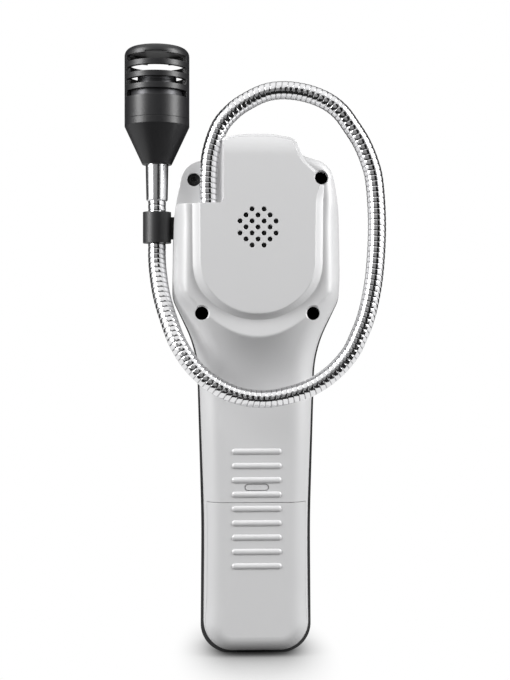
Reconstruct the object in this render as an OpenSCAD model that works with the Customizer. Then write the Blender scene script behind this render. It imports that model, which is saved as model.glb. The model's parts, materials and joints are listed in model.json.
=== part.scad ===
// Hand-held refrigerant leak detector that stands on its foot.
// X runs across the housing, -Y is the rear with the speaker grille, +Y is the front with the keys.
// Z runs up from the foot. The two shells part on the plane y = 0.

/* [Housing outline] */
// Height of the housing from the foot to the top of its tab
body_len = 211; // [201:0.5:221]
// Width of the tab at the top
tab_w = 29.8; // [28:0.2:32]
// Width of the head at its widest
head_w = 68.2; // [65:0.2:73]
// Width of the handle below the neck
neck_w = 47.4; // [46:0.2:50]
// Width of the handle at its waist
waist_w = 42.4; // [41.6:0.2:44.6]
// Width of the handle at its foot
foot_w = 43.2; // [42.2:0.2:45.6]
// Radius of the corners at the foot
foot_r = 12; // [8:0.5:15]
// How far the front shell stands proud of the rear shell along the handle
rim_step = 1.2; // [0.6:0.1:1.8]
// How far the front shell stands proud of the rear shell round the head
head_step = 0.3; // [0.1:0.05:0.5]
// How far the rear shell ends above the foot
foot_lift = 1.8; // [0.8:0.1:2.4]

/* [Housing depth] */
// Wall of both shells
wall = 2.2; // [1.8:0.1:2.6]
// Depth of the rear shell along the handle
handle_depth = 10; // [10:0.1:11]
// Depth of the rear shell round the speaker plateau
head_depth = 16.5; // [15:0.1:17.5]
// Depth of the rear shell at the speaker plateau
plateau_depth = 23; // [22.6:0.1:25]
// Depth of the front shell at the head
face_depth = 23; // [22:0.1:25]
// Distance of the lip, where the head ends, from the top of the tab
lip_drop = 81; // [77:0.5:85]
// Length over which the neck runs out from the lip into the handle
neck_run = 26; // [20:0.5:32]
// Edge radius of the rear shell at the head
head_edge_r = 6.4; // [5:0.2:7.4]
// Edge radius of both shells at the tab
tab_edge_r = 3; // [2.6:0.1:3.6]
// Edge radius of the rear shell at the handle
handle_edge_r = 7; // [6:0.1:7.4]
// Edge radius of the front shell at the handle
front_edge_r = 5; // [4:0.1:5.4]

/* [Speaker plateau] */
// Width of the plateau at its foot
plateau_w = 53.4; // [50:0.2:55]
// Distance of the lower end of the plateau from the top of the tab
plateau_drop = 76.7; // [74:0.1:79]
// Distance of the ledge below the notch from the top of the tab
ledge_drop = 28; // [26:0.5:30]
// Distance of the notch wall from the middle
notch_x = 13.5; // [13:0.1:15]
// Depth of the rear shell at the floor of the notch
notch_depth = 11.4; // [11:0.1:11.7]
// Distance of the middle of the grille from the top of the tab
grille_drop = 37.6; // [36:0.2:40]
// Distance of neighbouring holes in a grille row
grille_pitch = 4.75; // [4:0.05:5]
// Bore of a grille hole
grille_d = 1.85; // [1.2:0.05:2.2]

/* [Grip and battery cover] */
// Height of the uppermost grip rib
rib_z = 83.6; // [82.8:0.1:84.4]
// Distance of neighbouring grip ribs
rib_pitch = 5.8; // [5.6:0.05:5.9]
// Length of a grip rib
rib_len = 20.3; // [16:0.1:24]
// Height of a grip rib along the handle
rib_h = 2.5; // [2:0.1:2.8]
// How far a grip rib stands out
rib_rise = 0.6; // [0.3:0.05:0.9]
// Number of grip ribs
rib_count = 9; // [3:1:9]
// Height of the seam above the battery cover
seam_z = 63; // [62.6:0.1:63.4]
// Depth of the rails that the battery cover slides on
rail_depth = 4.6; // [4:0.1:5]
// Length of the latch slot
latch_len = 9.6; // [7:0.1:11]
// Height of the latch slot
latch_h = 2.55; // [2:0.05:2.8]
// Open seam round the battery cover
seam_gap = 0.3; // [0.2:0.05:0.4]

/* [Conduit and sensor head] */
// Outside diameter of the ribbed conduit
conduit_d = 7.2; // [6.6:0.1:7.4]
// Length of one conduit rib
conduit_rib = 2.2; // [2:0.05:4]
// Depth of the grooves between conduit ribs
conduit_groove = 0.45; // [0.2:0.05:0.7]
// Diameter of the sensor cap
cap_d = 26.4; // [25:0.1:28]
// Wall of the sensor cap
cap_wall = 1.6; // [1.2:0.1:2]
// Height of the sensor cap
cap_h = 28.6; // [27.6:0.1:31]
// Height of a slot in the sensor cap
slot_h = 2.5; // [1.8:0.1:3]
// Distance of neighbouring slots
slot_pitch = 4.7; // [4.4:0.05:4.9]
// Number of slot rows
slot_rows = 4; // [2:1:4]
// Diameter of the cone where it meets the ferrule
cone_d = 12.1; // [11:0.1:14]
// Distance of the lower end of the cone from the top of the tab
cone_drop = 10.7; // [9:0.1:13]
// Height of the cone
cone_h = 17; // [15:0.1:19]
// Height of the collar between the cone and the cap
collar_h = 2.8; // [2.2:0.1:3.6]
// Diameter of the ferrule at its upper end
ferrule_d = 9.3; // [9:0.05:9.8]
// Length of the ferrule below the cone
ferrule_len = 14.8; // [13.4:0.1:15.8]
// Diameter of the gas sensor
sensor_d = 16.2; // [12:0.1:18]
// Height of the clip along the conduit
clip_h = 12.6; // [8:0.1:13]

/* [Fittings] */
// Bore of the screw wells
well_d = 5.3; // [5:0.05:5.6]
// Shank of the housing screws
screw_d = 3; // [2.6:0.1:3.2]
// Length of a key
key_len = 15; // [12:0.1:16]
// Height of a key
key_h = 8; // [6:0.1:9]
// Travel of a key
key_travel = 0.8; // [0.5:0.05:1]
// Diameter of an indicator lamp
led_d = 3; // [2.5:0.1:3.5]
// Diameter of a battery cell
cell_d = 14; // [13.5:0.05:14.05]
// How far the battery cells reach into the rear shell
cell_seat = 6.2; // [5.6:0.1:6.6]
// Length of a battery cell with its nub
cell_len = 50.2; // [49.5:0.1:50.6]
// Thickness of the circuit board
board_t = 1.6; // [1.2:0.1:2]
// Play of a fixed fit, on the radius
fit = 0.05; // [0.02:0.01:0.08]
// Play of a loose fit, on each side
play = 0.25; // [0.2:0.01:0.3]

/* [Hidden] */
$fn = 48;

// Heights above the foot, which follow the top of the tab
lip_z = body_len - lip_drop;
neck_end_z = lip_z - neck_run;
plateau_z = body_len - plateau_drop;
ledge_z = body_len - ledge_drop;
grille_z = body_len - grille_drop;
cone_z = body_len - cone_drop;
ferrule_z = cone_z - ferrule_len;
cap_z = cone_z + cone_h + collar_h;
cap_top_z = cap_z + cap_h;

// Two rows of cells set the depth of the front shell along the handle
cell_pitch = cell_d + 0.3;
cell_y = [for (k = [0, 1]) cell_d / 2 - cell_seat + k * cell_pitch];
holder_floor = 0.9;
holder_gap = 0.1;
front_depth = cell_y[1] + cell_d / 2 + 2 * holder_gap + holder_floor + wall;

// Overlap of a cut past the face it opens
cut = 1;
shell_grey = "#d4d4d4";
shell_black = "#222224";
metal = "#c8c8cc";

// Detail of a lofted form: chord error, steps round its edge, columns of its cap, rows in the neck
fine = [0.08, 4, 5, 5];
coarse = [0.5, 2, 1, 10];

// Corners of the right half of the housing, from the top down: x, z and radius.
// A grow list widens head and handle, so that both shells come from the same corners.
shoulder_drop = 12;
tab_r = 4.5;
tab_flat = 6;
tab_flat_r = 30;
tab_bow = 1.6;
waist_z = 55;
head_low_z = lip_z + 15.6;
head_high_z = lip_z + 49;
function housing_corners(head_grow, handle_grow, base_z) = [
    [0, body_len, 0],
    [tab_flat, body_len, tab_flat_r],
    [tab_w / 2 + head_grow, body_len - tab_bow, tab_r],
    [tab_w / 2 + 2.7 + head_grow, body_len - 0.7 * shoulder_drop, 3.2],
    [head_w / 2 - 4.7 + head_grow, body_len - shoulder_drop, 9],
    [head_w / 2 - 0.5 + head_grow, head_high_z, 60],
    [head_w / 2 + head_grow, head_low_z, 12],
    [neck_w / 2 + handle_grow, lip_z - 5.5, 50],
    [waist_w / 2 + handle_grow, waist_z, 600],
    [foot_w / 2 + handle_grow, base_z, foot_r],
    [0, base_z, 0]
];

// Corners of the right half of the plateau
plateau_corners = [
    [0, body_len - 0.3, 0],
    [tab_flat, body_len - 0.3, tab_flat_r],
    [tab_w / 2 - 1, body_len - 0.3 - tab_bow, 6],
    [tab_w / 2 + 3.4, body_len - 10.2, 7],
    [plateau_w / 2 + 0.3, body_len - 18, 9],
    [plateau_w / 2 - 0.2, plateau_z, plateau_w / 2 - 0.8],
    [0, plateau_z, 0]
];

function unit(v) = v / norm(v);
function xy(p) = [p[0], p[1]];
function clamp(t) = min(1, max(0, t));
function smooth(a, b, t) = let (u = clamp((t - a) / (b - a))) u * u * (3 - 2 * u);

// Arc of radius r that rounds the corner b between a and c, within a chord error
function corner_arc(a, b, c, r, error) =
    let (u = unit(a - b), v = unit(c - b), half = acos(u * v) / 2)
    let (centre = b + unit(u + v) * r / sin(half))
    let (p = b + u * r / tan(half) - centre, q = b + v * r / tan(half) - centre)
    let (from = atan2(p.y, p.x), turn = (atan2(q.y, q.x) - from + 540) % 360 - 180)
    let (steps = ceil(abs(turn) / (2 * acos(1 - error / r))))
    [for (k = [0:steps]) let (w = from + turn * k / steps) centre + r * [cos(w), sin(w)]];

// Rounded half outline, with the runs beside the neck divided
function rounded(corners, error) =
    [for (i = [1:len(corners) - 2])
        each corner_arc(xy(corners[i - 1]), xy(corners[i]), xy(corners[i + 1]), corners[i][2], error)];
function beside_neck(p) = abs(p.y - (neck_end_z + lip_z) / 2) < lip_z - neck_end_z;
function divided(p, gap) =
    [for (i = [0:len(p) - 1])
        let (next = p[min(i + 1, len(p) - 1)], steps = ceil(abs(next.y - p[i].y) / gap))
        let (n = beside_neck(p[i]) || beside_neck(next) ? max(1, steps) : 1)
        for (k = [0:(i < len(p) - 1 ? n - 1 : 0)]) p[i] + (next - p[i]) * k / n];

// Normals that point into the outline
function inward(h) =
    let (e = concat([[0, h[0].y]], h, [[0, h[len(h) - 1].y]]))
    [for (i = [1:len(h)])
        let (t = unit(unit(e[i] - e[i - 1]) + unit(e[i + 1] - e[i]))) [t.y, -t.x]];

function quad(a, b, c, d) = [[a, b, c], [a, c, d]];
function turned(faces, side) = side < 0 ? faces : [for (f = faces) [f[2], f[1], f[0]]];

// Faces round a stack of contours, and across its lower end
function stack_faces(n, levels) =
    let (m = 2 * n)
    concat(
        [for (k = [0:levels - 2], j = [0:m - 1])
            let (a = k * m + j, b = k * m + (j + 1) % m) each quad(a, b, b + m, a + m)],
        [for (i = [0:n - 2]) each quad(i, m - 1 - i, m - 2 - i, i + 1)]
    );

// Contour of a half outline and its mirror, moved in by an inset and out to a depth
function contour(h, normals, side, inset, depth) =
    let (n = len(h))
    let (right = [for (i = [0:n - 1])
        let (q = h[i] + normals[i] * inset(h[i].y)) [q.x, side * depth(q.x, q.y), q.y]])
    concat(right, [for (i = [n - 1:-1:0]) [-right[i].x, right[i].y, right[i].z]]);

// Depth of the rear shell, with the neck that falls from the lip to the handle
lip_curve = 0.021;
neck_power = 2.2;
function rear_level(x, z) =
    let (t = clamp((z - lip_curve * x * x - neck_end_z) / (lip_z - neck_end_z)))
    handle_depth + (head_depth - handle_depth) * pow(t, neck_power);
function front_level(x, z) = front_depth + (face_depth - front_depth) * smooth(neck_end_z - 4, lip_z, z);
function edge_radius(z, handle_r) =
    handle_r + (head_edge_r - handle_r) * smooth(lip_z - 20, lip_z + 20, z)
    + (tab_edge_r - head_edge_r) * smooth(body_len - 2 * shoulder_drop, body_len - shoulder_drop / 2, z);

// Lofted half shell: straight wall, rounded edge, then a cap whose rows follow the lip
module shell_form(corners, side, level, handle_r, skin) {
    detail = skin > 0 ? coarse : fine;
    edge_steps = detail[1];
    cap_columns = detail[2];
    h = divided(rounded(corners, detail[0]), detail[3]);
    n = len(h);
    m = 2 * n;
    normals = inward(h);
    rim = contour(h, normals, side, function (z) skin, function (x, z) skin > 0 ? -cut : 0);
    edges = [for (k = [0:edge_steps])
        let (turn = 90 * k / edge_steps)
        contour(h, normals, side,
            function (z) skin + (edge_radius(z, handle_r) - skin) * (1 - cos(turn)),
            function (x, z)
                let (r = edge_radius(z, handle_r)) level(x, z) - r + (r - skin) * sin(turn))];
    levels = len(edges) + 1;
    last = edges[len(edges) - 1];
    columns = [for (i = [1:n - 2], j = [1:cap_columns])
        let (f = 1 - 2 * j / (cap_columns + 1), e = last[i])
        let (bow = lip_curve * e.x * e.x * smooth(neck_end_z - 19, neck_end_z + 4, e.z)
            * (1 - smooth(lip_z + 20, lip_z + 42, e.z)))
        let (x = e.x * f, z = e.z - bow * (1 - f * f))
        [x, side * (level(x, z) - skin), z]];
    top = (levels - 1) * m;
    row = [for (i = [0:n - 1])
        concat([top + i],
            i > 0 && i < n - 1 ? [for (j = [0:cap_columns - 1]) levels * m + (i - 1) * cap_columns + j] : [],
            [top + m - 1 - i])];
    cap = concat(
        [for (i = [1:n - 3], j = [0:cap_columns])
            each quad(row[i][j], row[i + 1][j], row[i + 1][j + 1], row[i][j + 1])],
        [for (j = [0:cap_columns]) [row[0][0], row[1][j], row[1][j + 1]]],
        [[row[0][0], row[1][cap_columns + 1], row[0][1]]],
        [for (j = [0:cap_columns]) [row[n - 1][0], row[n - 2][j + 1], row[n - 2][j]]],
        [[row[n - 1][0], row[n - 1][1], row[n - 2][cap_columns + 1]]]
    );
    points = concat(rim, [for (r = edges) each r], columns);
    polyhedron(points, turned(concat(stack_faces(n, levels), cap), side));
}

// Plateau that stands on the rear shell: inset and depth below its top at each level
// The flank flares out at its foot, but not beside the tab
plateau_edge = [[-2.4, 13], [-2.4, 6.6], [-1, 5.3], [0.5, 3.45], [1.9, 1.7], [3.4, 0.5], [4.8, 0]];
function flare(z) = 1 - smooth(ledge_z, ledge_z + 14, z);
plateau_bore = [[wall + 0.6, 13], [wall + 0.6, 3.2], [wall + 2.6, 0]];
module plateau_form(skin) {
    h = rounded(plateau_corners, (skin > 0 ? coarse : fine)[0]);
    n = len(h);
    normals = inward(h);
    rings = [for (e = skin > 0 ? plateau_bore : plateau_edge)
        contour(h, normals, -1, function (z) e[0] * (e[0] < 0 ? flare(z) : 1),
            function (x, z) plateau_depth - skin - e[1])];
    top = (len(rings) - 1) * 2 * n;
    cap = [for (i = [0:n - 2])
        each quad(top + i, top + i + 1, top + 2 * n - 2 - i, top + 2 * n - 1 - i)];
    polyhedron([for (r = rings) each r], concat(stack_faces(n, len(rings)), cap));
}

// Rod along Y
module rod(x, z, r, y0, y1) {
    translate([x, y0, z]) rotate([-90, 0, 0]) cylinder(r = r, h = y1 - y0);
}

// Block between two corners
module block(low, high) {
    translate(low) cube(high - low);
}

// Flat shape in the XZ plane, made thick along Y
module slab(y0, y1) {
    translate([0, y1, 0]) rotate([90, 0, 0]) linear_extrude(y1 - y0) children();
}

module round_rect(w, h, r) {
    square([w - 2 * r, h], center = true);
    square([w, h - 2 * r], center = true);
    for (i = [-1, 1], k = [-1, 1]) translate([i * (w / 2 - r), k * (h / 2 - r)]) circle(r);
}

rear_corners = housing_corners(0, 0, foot_lift);
front_corners = housing_corners(head_step, rim_step, 0);
module rear_form(skin)
    shell_form(rear_corners, -1, function (x, z) rear_level(x, z), handle_edge_r, skin);
module front_form(skin)
    shell_form(front_corners, 1, function (x, z) front_level(x, z), front_edge_r, skin);

// Screws that hold the shells together: two in the shoulders, two above the lip
screw_spots = [for (p = [[head_w / 2 - 8.7, body_len - 17.6], [head_w / 2 - 11.9, lip_z + 9.4]],
    side = [-1, 1]) [side * p.x, p.y]];
boss_r = well_d / 2 + 1.3;
head_t = 2.4;
head_top = notch_depth - 1.2;
screw_in = 8;

// Conduit socket
conduit_x = -notch_x - 6;
conduit_y = -15.5;
bush_d = 9.2;
bush_len = 11;
bush_z = ledge_z - wall - 2 * fit - bush_len;
notch_draft = 1.5;

// Notch beside the tab, with a drafted wall. A grow value leaves the wall round it.
module notch(grow) {
    floor_y = -notch_depth + grow;
    top_y = -plateau_depth - cut;
    translate([0, 0, ledge_z - grow]) linear_extrude(body_len - ledge_z + 2 * cut)
        polygon([[-notch_x - notch_draft + grow, floor_y], [-notch_x + grow, top_y], [-head_w, top_y],
            [-head_w, floor_y]]);
}

// Groove in the corner of the tab where the conduit bends away over it
relief_from = [conduit_x + 1, conduit_y, body_len - 7];
relief_to = [conduit_x + 4.5, conduit_y - 0.5, body_len + 3];
module conduit_relief() {
    run = relief_to - relief_from;
    translate(relief_from) rotate([0, acos(run.z / norm(run)), atan2(run.y, run.x)])
        cylinder(d = conduit_d + 2 * play, h = norm(run));
}

rib_spots = [for (i = [0:rib_count - 1]) rib_z - i * rib_pitch];
rib_r = (rib_rise * rib_rise + rib_h * rib_h / 4) / (2 * rib_rise);
module rib(z) {
    translate([-rib_len / 2, -(handle_depth + rib_rise - rib_r), z])
        rotate([0, 90, 0]) cylinder(r = rib_r, h = rib_len);
}

// Shell skin with its grip ribs
module ribbed_form() {
    rear_form(0);
    for (z = rib_spots) rib(z);
}

// Space of the battery cover, which slides on the rails of the rear shell
cover_wall = 2;
end_w = 36;
module cover_space(grow) {
    block([-head_w, -plateau_depth, -cut], [head_w, -rail_depth - seam_gap + grow, seam_z - seam_gap + grow]);
    block([-end_w / 2 - grow, -plateau_depth, -cut],
        [end_w / 2 + grow, -seam_gap + 2 * grow, wall + foot_lift + grow]);
}

latch_z = rib_z - rib_pitch * 2.5;
tongue_w = 12;
tongue_t = 1;
tongue_len = 10;
tongue_root = 1.2;
// Wall that is left over the tongue, which fills the latch slot from below
latch_wall = 0.7;
tongue_top = handle_depth - latch_wall - seam_gap;

// Pill that lies across the handle
module pill(len, h) {
    square([len - h, h], center = true);
    for (s = [-1, 1]) translate([s * (len - h) / 2, 0]) circle(h / 2);
}

// Buzzer behind the grille
buzzer_r = 10;
buzzer_t = 7;
ring_t = 1.4;
grille_rows = [2, 3, 4, 3, 4, 3, 2];

module grille_holes() {
    for (k = [0:len(grille_rows) - 1], j = [0:grille_rows[k] - 1])
        rod((j - (grille_rows[k] - 1) / 2) * grille_pitch,
            grille_z + (k - (len(grille_rows) - 1) / 2) * grille_pitch / 2,
            grille_d / 2, -plateau_depth - cut, -plateau_depth + wall + cut);
}

// Clip at the side of the head, its foot trapped at the parting plane
probe_x = -head_w / 2 - 6.4;
probe_y = -4;
clip_z = body_len - 42.7;
clip_in = conduit_d / 2 + 0.15;
clip_t = 2;
foot_t = 3;
foot_h = 9;
foot_head = 2.5;
foot_reach = 2.6;

module clip_foot(grow) {
    block([probe_x + clip_in + clip_t / 2, -foot_t - grow, clip_z + (clip_h - foot_h) / 2 - grow],
        [-head_w / 2 + wall + foot_reach + grow, grow > 0 ? cut : 0, clip_z + (clip_h + foot_h) / 2 + grow]);
}

module rear_housing() color(shell_grey) difference() {
    union() {
        ribbed_form();
        plateau_form(0);
    }
    difference() {
        union() {
            rear_form(wall);
            plateau_form(wall);
        }
        notch(wall);
        for (p = screw_spots) rod(p.x, p.y, boss_r, -plateau_depth, 2 * cut);
        difference() {
            rod(0, grille_z, buzzer_r + fit + ring_t, -plateau_depth, -plateau_depth + wall + buzzer_t / 2);
            rod(0, grille_z, buzzer_r + fit, -plateau_depth - cut, 0);
        }
    }
    notch(0);
    conduit_relief();
    grille_holes();
    for (p = screw_spots) {
        rod(p.x, p.y, well_d / 2, -plateau_depth - cut, -(head_top - head_t));
        rod(p.x, p.y, screw_d / 2 + play, -plateau_depth, cut);
    }
    translate([conduit_x, conduit_y, ledge_z - 2 * wall]) cylinder(d = conduit_d + 2 * play, h = 3 * wall);
    translate([conduit_x, conduit_y, bush_z - cut])
        cylinder(d = bush_d + 2 * play, h = ledge_z - wall - bush_z + cut);
    cover_space(seam_gap);
    translate([0, 0, latch_z]) slab(-plateau_depth, -handle_depth + wall + 0.1) pill(latch_len, latch_h);
    block([-tongue_w / 2 - play, -handle_depth + latch_wall, seam_z - cut],
        [tongue_w / 2 + play, -handle_depth + wall + cut, seam_z + tongue_len + play]);
    clip_foot(fit);
}

module battery_cover() color(shell_grey) union() {
    difference() {
        intersection() {
            ribbed_form();
            cover_space(0);
        }
        rear_form(cover_wall);
    }
    block([-tongue_w / 2, -tongue_top, seam_z - tongue_root],
        [tongue_w / 2, -tongue_top + tongue_t, seam_z + tongue_len]);
}

module housing_screws() color(shell_black) for (p = screw_spots) {
    rod(p.x, p.y, screw_d / 2, -(head_top - head_t), screw_in);
    difference() {
        rod(p.x, p.y, well_d / 2 - fit, -head_top, -(head_top - head_t));
        for (w = [[0.4, 1.4], [1.4, 0.4]])
            block([p.x - w.x, -head_top - cut, p.y - w.y], [p.x + w.x, -head_top + 1.2, p.y + w.y]);
    }
}

// Plugs in the three wells that open at the level of the head
plug_sink = 0.5;
module screw_plugs() color(shell_black) for (i = [1:3]) {
    p = screw_spots[i];
    rod(p.x, p.y, well_d / 2 - fit, -(head_depth - plug_sink), -head_top);
}

// Inside of the front shell
board_y = 12;
panel_t = 1;
panel_w = 44;
panel_h = 64;
panel_z = body_len - 45;
face_in = face_depth - wall;
board_w = 36;
board_z0 = neck_end_z - 4;
board_z1 = body_len - 11.8;
post_spots = [for (x = [-15, 15], z = [board_z0 + 4, board_z1 - 4]) [x, z]];
post_r = 2.5;
board_screw_d = 2;
key_drop = 34;
key_pitch = [23, 16];
key_spots = [for (k = [0:2], side = [-1, 1])
    [side * key_pitch.x / 2, body_len - key_drop - k * key_pitch.y]];
led_pitch = 5.5;
led_drop = 20;
led_spots = [for (i = [-3:3]) [i * led_pitch, body_len - led_drop]];

module key_outline(grow) {
    pill(key_len + 2 * grow, key_h + 2 * grow);
}

module front_housing() color(shell_black) difference() {
    front_form(0);
    difference() {
        front_form(wall);
        for (p = screw_spots) rod(p.x, p.y, boss_r, -2 * cut, front_depth);
        for (p = post_spots) rod(p.x, p.y, post_r, board_y + board_t, front_depth);
    }
    for (p = screw_spots) rod(p.x, p.y, screw_d / 2 + fit, -cut, screw_in + cut);
    for (p = post_spots) rod(p.x, p.y, board_screw_d / 2 + fit, board_y, face_in);
    translate([0, 0, panel_z]) slab(face_depth - panel_t, face_depth + cut)
        round_rect(panel_w + 2 * play, panel_h + 2 * play, 6);
    for (p = key_spots) translate([p.x, 0, p.y]) slab(face_in - cut, face_depth + cut) key_outline(play);
    for (p = led_spots) rod(p.x, p.y, led_d / 2 + fit, face_in - cut, face_depth + cut);
}

module front_panel() color("#3c3f44") difference() {
    translate([0, 0, panel_z]) slab(face_depth - panel_t, face_depth) round_rect(panel_w, panel_h, 6);
    for (p = key_spots) translate([p.x, 0, p.y]) slab(face_in, face_depth + cut) key_outline(play);
    for (p = led_spots) rod(p.x, p.y, led_d / 2 + fit, face_in, face_depth + cut);
}

// Key with the flange that holds it behind the wall and the stem that enters its switch
switch_w = 6;
switch_t = 3.6;
stem_r = 1.7;
flange_t = 1;
flange_out = 0.8;
key_rise = 1.6;
module key(i, tint) color(tint) translate([key_spots[i].x, 0, key_spots[i].y]) {
    flange_y = face_in - 0.2;
    slab(flange_y - flange_t, face_depth + key_rise) key_outline(0);
    slab(flange_y - flange_t, flange_y) key_outline(flange_out);
    rod(0, 0, stem_r, board_y + board_t + switch_t - 1, flange_y - flange_t);
}
module key_power() key(0, "#c23b30");
module key_reset() key(1, "#d9dadb");
module key_mute() key(2, "#d9dadb");
module key_battery() key(3, "#d9dadb");
module key_up() key(4, "#d9dadb");
module key_down() key(5, "#d9dadb");

module key_switches() color("#2e2e30") for (p = key_spots) difference() {
    block([p.x - switch_w / 2, board_y + board_t, p.y - switch_w / 2],
        [p.x + switch_w / 2, board_y + board_t + switch_t, p.y + switch_w / 2]);
    rod(p.x, p.y, stem_r + fit, board_y + board_t + switch_t - 1 - 1.5 * key_travel, face_in);
}

module leds(from, to) for (i = [from:to]) {
    p = led_spots[i];
    tip = face_depth + 0.4 - led_d / 2;
    rod(p.x, p.y, led_d / 2, board_y + board_t, tip);
    translate([p.x, tip, p.y]) sphere(d = led_d);
}
module leds_green() color("#3fae49") leds(0, 2);
module leds_amber() color("#e0a020") leds(3, 4);
module leds_red() color("#c8322b") leds(5, 6);

module main_board() color("#1f6b3a") difference() {
    block([-board_w / 2, board_y, board_z0], [board_w / 2, board_y + board_t, board_z1]);
    for (p = post_spots) rod(p.x, p.y, board_screw_d / 2 + fit, board_y - cut, board_y + board_t + cut);
}

module board_screws() color(metal) for (p = post_spots) {
    rod(p.x, p.y, board_screw_d / 2, board_y, board_y + board_t + 4);
    rod(p.x, p.y, board_screw_d * 0.95, board_y - 1.4, board_y);
}

module buzzer() color(shell_black) difference() {
    rod(0, grille_z, buzzer_r, -plateau_depth + wall, -plateau_depth + wall + buzzer_t);
    rod(0, grille_z, 1.5, -plateau_depth, -plateau_depth + wall + 2);
}

// Route of the conduit from the socket round the housing to the clip
loop = [
    [-10, -16.5, 220], [-4.5, -16.5, 224], [3, -17, 227.5], [10.5, -17.5, 228.5],
    [19, -17.5, 227.5], [27, -18, 224.5], [33, -18.5, 220], [37.5, -18.5, 214], [41.5, -19, 207.5],
    [44.5, -19, 200.5], [46.5, -19, 193], [47.5, -19.5, 180], [47.5, -19.5, 168], [46.5, -20, 155],
    [45, -20, 145.5], [43, -20, 137.5], [40.5, -20, 131], [36.5, -20, 123], [29, -20, 115],
    [19, -20, 109], [5, -20, 105.5], [-7, -20, 106.5], [-17, -19.5, 111], [-25, -18, 117.5],
    [-31.5, -15.5, 127], [-35.5, -12, 137], [-38.5, -8.5, 147], [-40, -5.5, 156]
];
// Head width and housing height at which the loop has these sizes
loop_size = [68.2, 211];
conduit_route = concat(
    [for (z = [-14, -6, 2, 11]) [conduit_x, conduit_y, ledge_z + z]],
    [relief_from, relief_to],
    [for (p = loop) [p.x * head_w / loop_size.x, p.y, p.z + body_len - loop_size.y]],
    [[probe_x, probe_y - 0.2, clip_z - 6.3]],
    [for (z = [-1.3, 6.7, 14.7]) [probe_x, probe_y, clip_z + z]],
    [[probe_x, probe_y, ferrule_z + 5.5]]
);
conduit_sides = 8;
route_steps = 8;

// Smooth curve through the points of a route
function spline(p) =
    let (last = len(p) - 1)
    concat([for (i = [0:last - 1], k = [0:route_steps - 1])
        let (t = k / route_steps, a = p[max(i - 1, 0)], b = p[i], c = p[i + 1], d = p[min(i + 2, last)])
        0.5 * (2 * b + (c - a) * t + (2 * a - 5 * b + 4 * c - d) * t * t
            + (3 * b - a - 3 * c + d) * t * t * t)], [p[last]]);
function run(p) =
    [for (i = 0, s = 0; i < len(p); s = i + 1 < len(p) ? s + norm(p[i + 1] - p[i]) : s, i = i + 1) s];

// Ribbed tube swept along the route, with a crest and a groove for each rib
module gooseneck() color(metal) {
    line = spline(conduit_route);
    dist = run(line);
    total = dist[len(dist) - 1];
    count = 2 * floor(total / conduit_rib);
    axes = [for (a = [0:2]) [for (i = [0:len(line) - 1]) [dist[i], line[i][a]]]];
    at = function (s) [for (a = axes) lookup(s, a)];
    points = [for (i = [0:count])
        let (s = total * i / count, c = at(s))
        let (t = unit(at(min(s + 1, total)) - at(max(s - 1, 0))))
        let (u = unit(cross(t, [0, 1, 0])), v = cross(t, u))
        let (r = conduit_d / 2 - (i % 2 == 0 ? conduit_groove : 0))
        for (k = [0:conduit_sides - 1])
            let (w = 360 * k / conduit_sides) c + r * (cos(w) * u + sin(w) * v)];
    sides = [for (i = [0:count - 1], k = [0:conduit_sides - 1])
        let (a = i * conduit_sides + k, b = i * conduit_sides + (k + 1) % conduit_sides)
        each quad(a, a + conduit_sides, b + conduit_sides, b)];
    ends = concat(
        [for (k = [1:conduit_sides - 2]) [0, k, k + 1]],
        [for (k = [1:conduit_sides - 2])
            let (e = count * conduit_sides) [e, e + k + 1, e + k]]);
    polyhedron(points, concat(sides, ends));
}

// Collar on the conduit that stops it behind the socket wall
module gooseneck_bush() color("#b9a468") translate([conduit_x, conduit_y, bush_z]) difference() {
    cylinder(d = bush_d, h = bush_len);
    translate([0, 0, -cut]) cylinder(d = conduit_d + 4 * fit, h = bush_len + 2 * cut);
}

module probe_clip() color(shell_black) union() {
    difference() {
        translate([probe_x, probe_y, clip_z]) cylinder(r = clip_in + clip_t, h = clip_h);
        translate([probe_x, probe_y, clip_z - cut]) cylinder(r = clip_in, h = clip_h + 2 * cut);
        block([probe_x - clip_in * 0.7, probe_y, clip_z - cut],
            [probe_x + clip_in * 0.7, probe_y + 2 * clip_in, clip_z + clip_h + cut]);
    }
    clip_foot(0);
    intersection() {
        block([-head_w / 2 + wall, -foot_t, clip_z + (clip_h - foot_h) / 2 - foot_head],
            [-head_w / 2 + wall + foot_reach, 0, clip_z + (clip_h + foot_h) / 2 + foot_head]);
        rear_form(wall + play);
    }
}

plug_r = 4;
plug_len = 7;
module probe_ferrule() color(metal) translate([probe_x, probe_y, 0]) rotate_extrude() {
    in = conduit_d / 2 + 2 * fit;
    polygon([
        [in, ferrule_z], [ferrule_d / 2 - 0.6, ferrule_z], [ferrule_d / 2 - 0.3, ferrule_z + 0.5],
        [ferrule_d / 2, cone_z], [plug_r, cone_z], [plug_r, cone_z + plug_len], [2.5, cone_z + plug_len],
        [2.5, ferrule_z + 8], [in, ferrule_z + 7]
    ]);
}

// Cone with the spigot that the cap fits over
spigot_h = 4;
header_r = 10;
header_t = 1.6;
module sensor_base() color(shell_black) translate([probe_x, probe_y, 0]) rotate_extrude() {
    r = cap_d / 2;
    spigot = r - cap_wall - fit;
    polygon([
        [plug_r + fit, cone_z], [cone_d / 2 - 0.5, cone_z], [cone_d / 2, cone_z + 0.5],
        [r - 0.6, cone_z + cone_h], [r - 0.2, cone_z + cone_h + 0.4], [r - 0.2, cap_z - 0.4],
        [spigot, cap_z - 0.4], [spigot, cap_z + spigot_h], [header_r + fit, cap_z + spigot_h],
        [header_r + fit, cap_z + 1], [header_r - 1, cap_z + 1], [header_r - 1, cap_z - 1],
        [plug_r + fit, cone_z + plug_len + 1]
    ]);
}

module sensor_header() color("#3a3a3c") translate([probe_x, probe_y, cap_z + 1])
    cylinder(r = header_r, h = header_t);

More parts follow.
